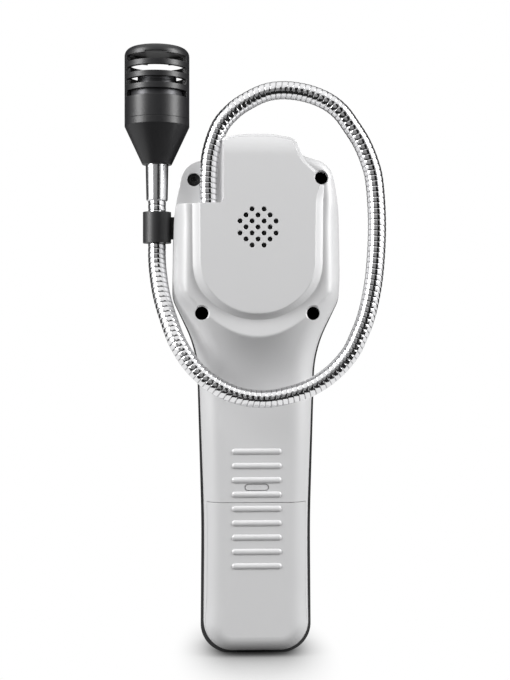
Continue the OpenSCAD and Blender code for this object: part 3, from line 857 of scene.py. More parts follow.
        start = -1.0 if skin > 0 else 0.0
        rings = [ring(lambda z: skin, lambda x, z: start)]
        for k in range(detail.edge_steps + 1):
            turn = math.pi / 2 * k / detail.edge_steps
            rings.append(
                ring(
                    lambda z: skin + (self.edge(z, side) - skin) * (1 - math.cos(turn)),
                    lambda x, z: level(x, z)
                    - self.slope(z, side)
                    + (self.slope(z, side) - skin) * math.sin(turn),
                )
            )
        points = [p for r in rings for p in r]
        faces = Outline.stack_faces(n, len(rings))
        top = (len(rings) - 1) * 2 * n
        rows = []
        for i in range(n):
            row = [top + i]
            if 0 < i < n - 1:
                ex, _, ez = rings[-1][i]
                bow = self.lip_curve * ex * ex * smooth(*self.bow_start, ez) * (1 - smooth(*self.bow_end, ez))
                for j in range(1, detail.columns + 1):
                    f = 1 - 2 * j / (detail.columns + 1)
                    x, z = ex * f, ez - bow * (1 - f * f)
                    row.append(len(points))
                    points.append((x, side.value * (level(x, z) - skin), z))
            rows.append(row + [top + 2 * n - 1 - i])
        for i in range(1, n - 2):
            a, b = rows[i], rows[i + 1]
            faces += [(a[j], b[j], b[j + 1], a[j + 1]) for j in range(len(a) - 1)]
        faces.append((*rows[0][::-1], *rows[1]))
        faces.append((*rows[n - 1], *rows[n - 2][::-1]))
        return Maker.solid(name, points, faces)


@dataclass
class RearShell:
    """Light grey rear shell with the speaker plateau, the notch and the grip."""

    housing: Housing
    plateau_w: float = 53.4
    plateau_z: float = 134.3
    plateau_root: float = 13.0
    flank_lift: float = 1.0
    flank_rise: float = 3.3
    flank_foot: float = 0.7
    flank_reach: float = 4.3
    flank_knee: float = 0.86
    flank_power: float = 1.7
    flank_steps: int = 24
    tab_gap: float = 0.05
    tab_run: float = 12.0
    tab_share: float = 0.6
    tab_bend: float = 2.4
    bend_run: float = 9.0
    ledge_z: float = 183.0
    notch_x: float = 13.5
    notch_draft: float = 1.5
    notch_r: float = 2.0
    notch_depth: float = 11.4
    grille_z: float = 173.4
    grille_pitch: float = 4.75
    grille_d: float = 2.0
    grille_rows: tuple[int, ...] = (2, 3, 4, 3, 4, 3, 2)
    pin_len: float = 10.0
    screws: tuple[Pair, ...] = ((-25.4, 193.4), (25.4, 193.4), (-22.2, 139.4), (22.2, 139.4))
    well_d: float = 5.3
    well_chamfer: float = 0.5
    boss_r: float = 3.95
    seat_depth: float = 7.8
    conduit: Pair = (-19.5, -15.5)
    conduit_hole: float = 3.85
    socket_z: Pair = (178.0, 186.0)
    bend: tuple[Point, Point] = ((-18.5, -15.5, 204.0), (-15.0, -16.0, 214.0))
    rib_z: float = 83.6
    rib_pitch: float = 5.8
    rib_len: float = 20.3
    rib_h: float = 2.5
    rib_rise: float = 0.6
    rib_root: float = 0.4
    seam_z: float = 63.0
    seam_gap: float = 0.2
    rail_depth: float = 5.2
    end_w: float = 36.0
    latch_len: float = 9.9
    latch_h: float = 2.9
    latch_wall: float = 0.7
    tongue_w: float = 12.0
    tongue_len: float = 10.0
    play: float = 0.25

    def plateau(self, name: str, levels: Sequence[Pair], error: float) -> bpy.types.Object:
        """Makes the plateau or its hollow.

        Args:
            name: Name of the object.
            levels: Inset and depth of each contour.
            error: Chord error of the outline.

        Returns:
            The solid.
        """
        h, wide, top_z = self.housing, self.plateau_w / 2, self.housing.length - self.tab_gap
        corners = [
            (0, top_z, 0),
            (h.tab_flat, top_z, 30),
            (h.tab_w / 2 - 0.1, top_z - h.tab_bow, 4.6),
            (h.tab_w / 2 + 3.4, h.length - 10.2, 7),
            (wide + 0.3, h.length - 18, 9),
            (wide - 0.2, self.plateau_z, wide - 0.8),
            (0, self.plateau_z, 0),
        ]
        line = Outline(corners, error).divided(0.3)
        normals = Outline.inward(line)
        n = len(line)
        points: list[Point] = []
        for inset, depth in levels:
            right = [p + q * self.spread(inset, p.y, q) for p, q in zip(line, normals)]
            points += [(p.x, self.fall(p.y) - depth, p.y) for p in right]
            points += [(-p.x, self.fall(p.y) - depth, p.y) for p in reversed(right)]
        faces = Outline.stack_faces(n, len(levels))
        top = (len(levels) - 1) * 2 * n
        faces += [(top + i, top + i + 1, top + 2 * n - 2 - i, top + 2 * n - 1 - i) for i in range(n - 1)]
        return Maker.solid(name, points, faces)

    def spread(self, inset: float, z: float, inward: Vector) -> float:
        """Fits an inset of the flank to its place, narrower beside the tab and raised at the bottom.

        Args:
            inset: Inset on the upright sides.
            z: Height on the outline.
            inward: Normal of the outline.

        Returns:
            The fitted inset.
        """
        tab = smooth(self.ledge_z, self.ledge_z + self.tab_run, z)
        narrowed = inset * (1 - tab) if inset < 0 else inset * (1 - self.tab_share * tab)
        return narrowed + self.flank_lift * smooth(0.3, 1, inward.y)

    def fall(self, z: float) -> float:
        """Gives how far the plateau falls towards the tab's top."""
        return self.tab_bend * clamp((z - self.housing.length + self.bend_run) / self.bend_run) ** 2

    def flank(self) -> list[Pair]:
        """Shapes the plateau's flank, hollow at its foot and rounded at its top.

        Returns:
            Inset and depth of each contour.
        """
        deep, foot = self.housing.plateau_depth, self.flank_foot
        knee, power = self.flank_knee, self.flank_power
        steep = power * knee ** (power - 1)
        top = knee**power + steep * (1 - knee) / 2
        levels = [(-foot, deep - self.plateau_root)]
        for k in range(self.flank_steps + 1):
            t = k / self.flank_steps
            up = min(t, knee) ** power
            if t > knee:
                up = top - steep * (1 - t) ** 2 / (2 * (1 - knee))
            levels.append((-foot + (foot + self.flank_reach) * t, deep - self.flank_rise * (1 - up / top)))
        return levels

    def notch(self, grow: float) -> bpy.types.Object:
        """Makes the notch beside the tab.

        Args:
            grow: How much larger it is on all sides.

        Returns:
            The solid.
        """
        h = self.housing
        z0, z1, r = self.ledge_z - grow, h.length + 2, self.notch_r + grow
        rings = []
        for y, draft in ((-self.notch_depth + grow, self.notch_draft), (-h.plateau_depth - 1, 0.0)):
            x = -self.notch_x - draft + grow
            ring = [(-h.head_w, y, z0), (-h.head_w, y, z1), (x, y, z1)]
            for k in range(9):
                a = -math.pi / 2 * k / 8
                ring.append((x - r + r * math.cos(a), y, z0 + r + r * math.sin(a)))
            rings.append(ring)
        return Maker.stack("notch", rings)

    def perforations(self) -> bpy.types.Object:
        """Makes the pins that cut the grille, one on each point of a staggered field.

        Returns:
            The pins as one solid.
        """
        points = []
        for k, count in enumerate(self.grille_rows):
            z = self.grille_z + (k - (len(self.grille_rows) - 1) / 2) * self.grille_pitch / 2
            for j in range(count):
                x = (j - (count - 1) / 2) * self.grille_pitch
                points.append((x, -self.housing.plateau_depth + 1, z))
        pins = Maker.solid("grille_pins", points, [])
        graph = ShapeGraph("grille_field")
        radius, depth = graph.size("Pin Radius"), graph.size("Pin Depth")
        given = graph.start.outputs
        shape = {"Vertices": 24, "Radius": given["Pin Radius"], "Depth": given["Pin Depth"]}
        pin = graph.add("GeometryNodeMeshCylinder", shape).outputs["Mesh"]
        field_of = {"Points": given["Geometry"], "Instance": pin, "Rotation": (math.pi / 2, 0, 0)}
        spread = graph.add("GeometryNodeInstanceOnPoints", field_of)
        graph.close(spread.outputs["Instances"], GREY_SHELL.build())
        graph.run(pins, {radius: self.grille_d / 2 * MM, depth: self.pin_len * MM})
        return pins

    def rib(self) -> bpy.types.Object:
        """Makes one grip rib at the origin, rounded across and at its ends.

        Returns:
            The rib.
        """
        deep, half, steps = self.housing.handle_depth, self.rib_h / 2, 7
        r = (self.rib_rise**2 + half**2) / (2 * self.rib_rise)
        rings = []
        for k in range(steps + 1):
            inset = (half - 0.05) * (1 - math.cos(math.pi / 2 * k / steps))
            rise = math.sqrt(r * r - (half - inset) ** 2) - (r - self.rib_rise)
            outline = Maker.pill(0, 0, self.rib_len - 2 * inset, self.rib_h - 2 * inset)
            rings.append([(x, -(deep + rise), z) for x, z in outline])
        rings.insert(0, [(x, -(deep - self.rib_root), z) for x, _, z in rings[0]])
        return Maker.stack("rib", rings)

    def ribs(self, name: str, first: int, count: int) -> bpy.types.Object:
        """Makes a run of grip ribs.

        Args:
            name: Name of the piece.
            first: Number of the first rib, from the top.
            count: How many ribs.

        Returns:
            The ribs as one mesh.
        """
        one = self.rib()
        line = Maker.solid(name, [(0, 0, 0)], [])
        graph = ShapeGraph(name + "_run")
        total = graph.size("Rib Count", "NodeSocketInt")
        start, pitch = graph.size("First Height"), graph.size("Rib Pitch")
        given = graph.start.outputs
        at, step = (
            graph.add("ShaderNodeCombineXYZ", {"Z": given[size]}).outputs["Vector"]
            for size in ("First Height", "Rib Pitch")
        )
        run = {"Count": given["Rib Count"], "Start Location": at, "Offset": step}
        places = graph.add("GeometryNodeMeshLine", run).outputs["Mesh"]
        shape = graph.add("GeometryNodeObjectInfo", {"Object": one}).outputs["Geometry"]
        spread = graph.add("GeometryNodeInstanceOnPoints", {"Points": places, "Instance": shape})
        graph.close(spread.outputs["Instances"], GREY_SHELL.build())
        top = (self.rib_z - first * self.rib_pitch) * MM
        graph.run(line, {total: count, start: top, pitch: -self.rib_pitch * MM})
        bpy.data.objects.remove(one)
        Maker.shade(line, 60)
        return line

    def latch_height(self) -> float:
        """Gives the height of the latch slot, midway between two ribs."""
        return self.rib_z - 2.5 * self.rib_pitch

    def relief(self) -> bpy.types.Object:
        """Makes the groove in the corner of the tab where the conduit bends away over it.

        Returns:
            The solid.
        """
        start, end = (Vector(p) for p in self.bend)
        r, long = self.conduit_hole, (end - start).length
        groove = Maker.lathe("relief", [(0, 0), (r, 0), (r, long), (0, long)], (0, 0), 48)
        turn = (end - start).to_track_quat("Z", "Y").to_matrix().to_4x4()
        groove.data.transform(Matrix.Translation(start * MM) @ turn)
        return groove

    def well(self, x: float, z: float) -> bpy.types.Object:
        """Makes the bore and the chamfer of one screw well.

        Args:
            x: Place across the shell.
            z: Height.

        Returns:
            The solid.
        """
        r, face = self.well_d / 2, self.housing.head_depth
        wide = r + self.well_chamfer
        levels = ((r, self.seat_depth), (r, face - 0.45), (wide, face + 0.05), (wide, CLEAR))
        rings = [[(px, -deep, pz) for px, pz in Maker.disc(x, z, size)] for size, deep in levels]
        return Maker.stack("well", rings)

    def hollow(self) -> bpy.types.Object:
        """Makes the space inside the shell, which leaves the screw bosses standing.

        Returns:
            The solid.
        """
        h = self.housing
        room = h.form("hollow", Side.REAR, h.wall, COARSE)
        deep, side = h.plateau_depth - h.wall, h.wall + 0.6
        bore = [(side, deep - self.plateau_root), (side, deep - 3.2), (h.wall + 2.6, deep)]
        Maker.combine(room, self.plateau("bore", bore, COARSE.error), Cut.JOIN)
        Maker.combine(room, self.notch(h.wall), Cut.AWAY)
        for x, z in self.screws:
            Maker.combine(room, Maker.prism("boss", Maker.disc(x, z, self.boss_r), -CLEAR, 2), Cut.AWAY)
        return room

    def cover_space(self, grow: float) -> list[bpy.types.Object]:
        """Makes the room that the battery cover takes up.

        Args:
            grow: How much larger it is on all sides.

        Returns:
            The block of the cover and the block of its end wall.
        """
        h, gap = self.housing, self.seam_gap
        return [
            Maker.block(
                "cover_room",
                (-h.head_w, -h.plateau_depth, -1),
                (h.head_w, -self.rail_depth - gap + grow, self.seam_z - gap + grow),
            ),
            Maker.block(
                "cover_end",
                (-self.end_w / 2 - grow, -h.plateau_depth, -1),
                (self.end_w / 2 + grow, -gap + 2 * grow, h.wall + h.foot_lift + grow),
            ),
        ]

    def cuts(self) -> Iterator[bpy.types.Object]:
        """Makes what is cut from the shell.

        Yields:
            One solid after the other, from the hollow to the pocket of the cover's tongue.
        """
        h = self.housing
        yield self.hollow()
        yield self.notch(0)
        yield self.relief()
        for x, z in self.screws:
            yield self.well(x, z)
        yield self.perforations()
        r, (low, high) = self.conduit_hole, self.socket_z
        yield Maker.lathe("socket", [(0, low), (r, low), (r, high), (0, high)], self.conduit, 48)
        yield from self.cover_space(self.seam_gap)
        under = -h.handle_depth + h.wall + 0.1
        slot = Maker.pill(0, self.latch_height(), self.latch_len, self.latch_h)
        yield Maker.prism("latch", slot, -CLEAR, under)
        half, far = self.tongue_w / 2 + self.play, self.seam_z + self.tongue_len + self.play
        yield Maker.block(
            "pocket", (-half, -h.handle_depth + self.latch_wall, self.seam_z - 1), (half, under, far)
        )

    def build(self) -> None:
        """Builds the shell and its upper grip ribs."""
        shell = self.housing.form("rear_shell", Side.REAR, 0, FINE)
        Maker.combine(shell, self.plateau("plateau", self.flank(), FINE.error), Cut.JOIN)
        for tool in self.cuts():
            Maker.combine(shell, tool, Cut.AWAY)
        Maker.complete(shell, GREY_SHELL, "rear_housing")
        Maker.place(self.ribs("grip_ribs_upper", 0, 4), "body", GREY_SHELL.slot)


@dataclass
class BatteryCover:
    """Sliding cover of the battery bay, with the lower grip ribs and the latch tongue."""

    rear: RearShell
    skin: float = 2.0
    tongue_t: float = 1.0
    tongue_root: float = 1.2

    def build(self) -> None:
        """Builds the cover and its ribs."""
        h, rear = self.rear.housing, self.rear
        cover = h.form("cover_shell", Side.REAR, 0, FINE)
        room, end = rear.cover_space(0)
        Maker.combine(room, end, Cut.JOIN)
        Maker.combine(cover, room, Cut.KEEP)
        Maker.combine(cover, h.form("hollow", Side.REAR, self.skin, COARSE), Cut.AWAY)
        top = h.handle_depth - rear.latch_wall - rear.seam_gap
        w, z = rear.tongue_w / 2, rear.seam_z
        low, high = (-w, -top, z - self.tongue_root), (w, -top + self.tongue_t, z + rear.tongue_len)
        Maker.combine(cover, Maker.block("tongue", low, high), Cut.JOIN)
        gap = 3 * rear.seam_gap
        outline = Maker.pill(0, rear.latch_height(), rear.latch_len - gap, rear.latch_h - gap)
        Maker.combine(cover, Maker.prism("catch", outline, -h.handle_depth + 0.2, -top + 0.4), Cut.JOIN)
        Maker.complete(cover, GREY_SHELL, "battery_cover", body="battery_cover")
        Maker.place(rear.ribs("grip_ribs_lower", 4, 5), "battery_cover", GREY_SHELL.slot)


@dataclass
class FrontShell:
    """Black front shell with the recess of the keypad panel."""

    housing: Housing
    panel: Point = (44.0, 64.0, 166.0)
    panel_t: float = 1.0
    panel_r: float = 6.0
    play: float = 0.25
    key: Pair = (15.0, 8.0)
    key_x: float = 11.5
    key_z: tuple[float, ...] = (177.0, 161.0, 145.0)
    lamp_d: float = 3.0
    lamp_play: float = 0.05
    lamp_pitch: float = 5.5
    lamp_z: float = 191.0
    lamp_count: int = 7
    hole_depth: float = 5.0

    def recess(self) -> bpy.types.Object:
        """Makes the recess of the panel, with round corners.

        Returns:
            The solid.
        """
        h, r, (w, tall, mid) = self.housing, self.panel_r, self.panel
        half, up = w / 2 + self.play, tall / 2 + self.play
        outline = []
        for sx, sz, a in ((1, 1, 0), (-1, 1, 90), (-1, -1, 180), (1, -1, 270)):
            for k in range(9):
                turn = math.radians(a + 90 * k / 8)
                outline.append(
                    (sx * (half - r) + r * math.cos(turn), mid + sz * (up - r) + r * math.sin(turn))
                )
        return Maker.prism("recess", outline, h.face_depth - self.panel_t, h.front_depth + 1)

    def holes(self) -> Iterator[list[Pair]]:
        """Gives the outlines of the holes in the panel.

        Yields:
            The holes of the keys and then those of the lamps.
        """
        grow = 2 * self.play
        for z in self.key_z:
            for x in (-self.key_x, self.key_x):
                yield Maker.pill(x, z, self.key[0] + grow, self.key[1] + grow)
        for i in range(self.lamp_count):
            x = (i - (self.lamp_count - 1) / 2) * self.lamp_pitch
            yield Maker.disc(x, self.lamp_z, self.lamp_d / 2 + self.lamp_play, 24)

    def build(self) -> None:
        """Builds the shell."""
        h = self.housing
        shell = h.form("front_shell", Side.FRONT, 0, FINE)
        Maker.combine(shell, h.form("hollow", Side.FRONT, h.wall, COARSE), Cut.AWAY)
        Maker.combine(shell, self.recess(), Cut.AWAY)
        for outline in self.holes():
            hole = Maker.prism("hole", outline, h.face_depth - self.hole_depth, CLEAR)
            Maker.combine(shell, hole, Cut.AWAY)
        Maker.complete(shell, BLACK_SHELL, "front_housing")


# Conduit and sensor head


@dataclass
class Conduit:
    """Ribbed flexible conduit on its route round the housing."""

    diameter: float = 7.2
    pitch: float = 2.2
    groove: float = 0.3
    bulge: float = 0.16
    cleft: float = 0.7
    cleft_power: float = 12.0
    # Sharpness of the painted shade in the clefts.
    shade_power: float = 9.0
    sides: int = 28
    steps: int = 14
    route: tuple[Point, ...] = (
        (-19.5, -15.5, 169), (-19.5, -15.5, 177), (-19.5, -15.5, 185),
        (-19.5, -15.5, 194), (-18.5, -15.5, 204),
        (-15, -16, 214), (-10, -16.5, 220), (-4.5, -16.5, 224), (3, -17, 227.5), (10.5, -17.5, 228.5),
        (19, -17.5, 227.5), (27, -18, 224.5), (33, -18.5, 220), (37.5, -18.5, 214), (41.5, -19, 207.5),
        (44.5, -19, 200.5), (46.5, -19, 193), (47.5, -19.5, 180), (47.5, -19.5, 168), (46.5, -20, 155),
        (45, -20, 145.5), (43, -20, 137.5), (40.5, -20, 131), (36.5, -20, 123), (29, -20, 115),
        (19, -20, 109), (5, -20, 105.5), (-7, -20, 106.5), (-17, -19.5, 111), (-25, -18, 117.5),
        (-31.5, -15.5, 127), (-35.5, -12, 137), (-38.5, -8.5, 147), (-40, -5.5, 156), (-40.5, -4.2, 162),
        (-40.5, -4, 167), (-40.5, -4, 175), (-40.5, -4, 183), (-40.5, -4, 191),
    )

    def line(self) -> list[Point]:
        """Lays a smooth curve through the points of the route.

        Returns:
            Points of the curve.
        """
        p = [Vector(q) for q in self.route]
        last = len(p) - 1
        made = []
        for i in range(last):
            a, b, c, d = p[max(i - 1, 0)], p[i], p[i + 1], p[min(i + 2, last)]
            for k in range(8):
                t = k / 8
                square, cube = 2 * a - 5 * b + 4 * c - d, 3 * b - a - 3 * c + d
                made.append(0.5 * (2 * b + (c - a) * t + square * t * t + cube * t**3))
        return [tuple(q) for q in [*made, p[last]]]

    def graph(self) -> tuple[ShapeGraph, dict[str, str]]:
        """Builds the tree that sweeps a tube, presses a spiral groove into it and stores painted shade for
        the clefts between its ribs.

        Returns:
            The tree and the identifiers of its sizes.
        """
        graph = ShapeGraph("spiral_conduit")
        names = {n: graph.size(n) for n in ("Radius", "Pitch", "Groove Depth", "Ring Step")}
        names["Sides"] = graph.size("Sides", "NodeSocketInt")
        given = graph.start.outputs
        path = graph.add("GeometryNodeMeshToCurve", {"Mesh": given["Geometry"]}).outputs["Curve"]
        even = graph.add(
            "GeometryNodeResampleCurve", {"Curve": path, "Length": given["Ring Step"]}, mode="LENGTH"
        )
        along = graph.add("GeometryNodeSplineParameter").outputs["Length"]
        run = graph.capture("Run", even.outputs["Curve"], along).outputs
        shape = {"Resolution": given["Sides"], "Radius": given["Radius"]}
        ring = graph.add("GeometryNodeCurvePrimitiveCircle", shape, mode="RADIUS")
        about = graph.add("GeometryNodeSplineParameter").outputs["Factor"]
        turn = graph.capture("Turn", ring.outputs["Curve"], about).outputs
        swept = {"Curve": run["Geometry"], "Profile Curve": turn["Geometry"], "Fill Caps": True}
        sweep = graph.add("GeometryNodeCurveToMesh", swept).outputs["Mesh"]
        count = graph.math("DIVIDE", run[1], given["Pitch"])
        phase = graph.math("FRACT", graph.math("ADD", count, turn[1]))
        off = graph.math("ABSOLUTE", graph.math("SUBTRACT", graph.math("MULTIPLY", phase, 2.0), 1.0))
        bulge = graph.math("MULTIPLY", graph.math("POWER", off, 2.0), self.bulge)
        cleft = graph.math("MULTIPLY", graph.math("POWER", off, self.cleft_power), self.cleft)
        press = graph.math("MULTIPLY", graph.math("ADD", bulge, cleft), given["Groove Depth"])
        normal = graph.add("GeometryNodeInputNormal").outputs["Normal"]
        depth = graph.math("MULTIPLY", press, -1.0)
        inward = graph.add("ShaderNodeVectorMath", {0: normal, "Scale": depth}, operation="SCALE")
        moved = {"Geometry": sweep, "Offset": inward.outputs["Vector"]}
        move = graph.add("GeometryNodeSetPosition", moved).outputs["Geometry"]
        # Painted shade, darkest in the clefts, stored on the points for the finish.
        shade = graph.math("POWER", off, self.shade_power)
        mark = graph.add(
            "GeometryNodeStoreNamedAttribute",
            {"Geometry": move, "Name": BRIGHT_CONDUIT.groove, "Value": shade},
            data_type="FLOAT",
            domain="POINT",
        )
        flow = graph.add("GeometryNodeSetShadeSmooth", {"Geometry": mark.outputs["Geometry"]})
        graph.close(flow.outputs["Geometry"], BRIGHT_CONDUIT.build())
        return graph, names

    def build(self) -> bpy.types.Object:
        """Builds the conduit.

        Returns:
            The conduit.
        """
        line = self.line()
        mesh = bpy.data.meshes.new("conduit")
        edges = [(i, i + 1) for i in range(len(line) - 1)]
        mesh.from_pydata([tuple(c * MM for c in p) for p in line], edges, [])
        tube = bpy.data.objects.new("conduit", mesh)
        bpy.context.scene.collection.objects.link(tube)
        graph, names = self.graph()
        graph.run(
            tube,
            {
                names["Radius"]: self.diameter / 2 * MM,
                names["Pitch"]: self.pitch * MM,
                names["Groove Depth"]: self.groove * MM,
                names["Ring Step"]: self.pitch / self.steps * MM,
                names["Sides"]: self.sides,
            },
        )
        Maker.place(tube, "body", BRIGHT_CONDUIT.slot, "gooseneck")
        return tube


@dataclass
class SensorHead:
    """Black sensor head: cone, slotted cap, ferrule and the can inside."""

    axis: Pair = (-40.5, -4.0)
    sides: int = 128
    cap_r: float = 13.2
    cap_wall: float = 1.6
    cap_z: float = 218.4
    cap_top: float = 248.7
    dome: float = 1.6
    dome_corner: float = 3.2
    inner_corner: float = 1.8
    seam_edge: float = 0.08
    slot_z: float = 227.0
    slot_h: float = 2.5
    slot_pitch: float = 4.7
    slot_rows: int = 4
    slot_span: float = 132.0
    window_w: float = 8.6
    window_rise: float = 0.7
    cone_z: float = 200.3
    cone_h: float = 15.4
    cone_r: float = 6.05
    cone_edge: float = 0.15
    bore_r: float = 4.3
    can_r: float = 7.9
    ring_r: float = 6.0

    def dome_line(self, r: float, top: float, corner: float) -> list[Pair]:
        """Gives the profile of the domed end, from the axis to the side.

        Args:
            r: Radius of the side.
            top: Height at the axis.
            corner: Radius of the shoulder.

        Returns:
            Radius and height of each point.
        """
        reach = r - corner
        line = [(reach * k / 10, top - self.dome * 0.75 * (k / 10) ** 2) for k in range(11)]
        edge = top - self.dome * 0.75
        for k in range(1, 9):
            a = math.pi / 2 * k / 8
            line.append((reach + corner * math.sin(a), edge - corner * (1 - math.cos(a))))
        return line

    def slot_ring(self, level: int, turn: float) -> bpy.types.Object:
        """Makes the curved block that cuts one slot.

        Args:
            level: Number of the slot, from the bottom.
            turn: Direction of its middle in degrees.

        Returns:
            The solid.
        """
        steps = 44
        r0, r1 = self.cap_r - 2 * self.cap_wall, self.cap_r + 2
        z0 = self.slot_z + level * self.slot_pitch
        points = []
        for i in range(steps + 1):
            a = math.radians(turn - self.slot_span / 2 + self.slot_span * i / steps)
            for r, z in ((r0, z0), (r1, z0), (r1, z0 + self.slot_h), (r0, z0 + self.slot_h)):
                points.append((self.axis[0] + r * math.cos(a), self.axis[1] + r * math.sin(a), z))
        faces: list[Face] = [(0, 1, 2, 3), tuple(4 * steps + k for k in range(4))]
        for i in range(steps):
            faces += [
                (4 * i + k, 4 * i + (k + 1) % 4, 4 * i + 4 + (k + 1) % 4, 4 * i + 4 + k) for k in range(4)
            ]
        return Maker.solid("slot", points, faces)

    def cap(self) -> bpy.types.Object:
        """Makes the cap with its slots and the windows over them.

        Returns:
            The cap.
        """
        r, wall, (x, y) = self.cap_r, self.cap_wall, self.axis
        outer = self.dome_line(r, self.cap_top, self.dome_corner)
        inner = self.dome_line(r - wall, self.cap_top - wall, self.inner_corner)
        edge, foot = self.seam_edge, self.cap_z
        skirt = [(r, foot + edge), (r - edge, foot), (r - wall, foot)]
        cap = Maker.lathe("cap_shell", outer + skirt + inner[::-1], self.axis, self.sides)
        for level in range(self.slot_rows):
            for turn in (90.0, 270.0):
                Maker.combine(cap, self.slot_ring(level, turn), Cut.AWAY)
        top, half = self.slot_z + (self.slot_rows - 1) * self.slot_pitch, self.window_w / 2
        for side in (-1, 1):
            low, high = sorted((y + side * (r - 4), y + side * (r + 3)))
            window = Maker.block(
                "window",
                (x - half, low, top + self.slot_h / 2),
                (x + half, high, top + self.slot_h + self.window_rise),
            )
            Maker.combine(cap, window, Cut.AWAY)
        return cap

    def cone(self) -> bpy.types.Object:
        """Makes the cone under the cap.

        Returns:
            The cone.
        """
        r, wall, bore = self.cap_r, self.cap_wall, self.bore_r
        foot, seam, edge, lip = self.cone_z, self.cap_z, self.cone_edge, self.seam_edge
        profile = [(bore, foot), (self.cone_r - edge, foot), (self.cone_r, foot + edge)]
        profile += [(r, foot + self.cone_h), (r, seam - lip), (r - lip, seam)]
        profile += [(r - 2 * wall, seam), (bore, foot + 2 * wall)]
        return Maker.lathe("head_cone", profile, self.axis, self.sides)

    def ring(self) -> bpy.types.Object:
        """Makes the stepped ring round the can that shows through the slots.

        Returns:
            The ring.
        """
        low, high = self.slot_z - 1, self.slot_z + self.slot_h + 0.6
        upper = self.slot_z + self.slot_pitch + self.slot_h + 1.6
        bore, step, out = self.ring_r, self.can_r, self.cap_r - self.cap_wall - 0.3
        profile = [(bore, low), (out, low), (out, high), (step, high), (step, upper), (bore, upper)]
        return Maker.lathe("sensor_ring", profile, self.axis, self.sides // 2)

    def build(self) -> None:
        """Builds the head."""
        Maker.complete(self.cap(), BLACK_HEAD, "sensor_cap")
        Maker.complete(self.cone(), BLACK_HEAD, "sensor_base", angle=20)
        Maker.complete(self.ring(), SENSOR_CAN)
        Maker.softened("gas_sensor", "sensor_can", SENSOR_CAN, 0.1)
        Maker.softened("probe_ferrule", "probe_sleeve", BRIGHT_FERRULE, 0.15)
        Maker.softened("probe_clip", "stow_clip", BLACK_SHELL, 0.3)


# Fittings


@dataclass
class Fittings:
    """Keys, lamps, screws and the parts inside, rounded copies or dressed solids."""

    keys: tuple[tuple[str, Finish], ...] = (
        ("power", KEY_RED), ("reset", KEY_GREY), ("mute", KEY_GREY),
        ("battery", KEY_GREY), ("up", KEY_GREY), ("down", KEY_GREY),
    )
    key_edge: float = 0.5
    soft: tuple[tuple[str, str, Finish, float], ...] = (
        ("front_panel", "keypad_film", PANEL_FILM, 0.15),
        ("housing_screws", "shell_screws", BLACK_SCREW, 0.12),
        ("screw_plugs", "well_plugs", BLACK_PLUG, 0.25),
        ("battery_holder", "cell_tray", BLACK_SHELL, 0.25),
        ("battery_cell_1", "cell_a", CELL_CASE, 0.4),
        ("battery_cell_2", "cell_b", CELL_CASE, 0.4),
        ("battery_cell_3", "cell_c", CELL_CASE, 0.4),
        ("battery_cell_4", "cell_d", CELL_CASE, 0.4),
    )
    plain: tuple[tuple[str, Finish], ...] = (
        ("leds_green", LAMP_GREEN), ("leds_amber", LAMP_AMBER), ("leds_red", LAMP_RED),
        ("gooseneck_bush", TURNED_BRASS), ("sensor_header", BLACK_SHELL), ("main_board", BOARD),
        ("board_screws", CONTACT), ("key_switches", BLACK_SHELL), ("buzzer", BLACK_SHELL),
        ("cell_springs", CONTACT), ("cell_plates", CONTACT),
    )

    def build(self) -> None:
        """Rounds the pieces that show and dresses the rest."""
        for name, finish in self.keys:
            Maker.softened(f"key_{name}", f"key_cap_{name}", finish, self.key_edge)
        for node, name, finish, width in self.soft:
            Maker.softened(node, name, finish, width)
        for node, finish in self.plain:
            Maker.dress(frame["nodes"][node], finish)
            LOG.info("%s: dressed", node)


# Studio


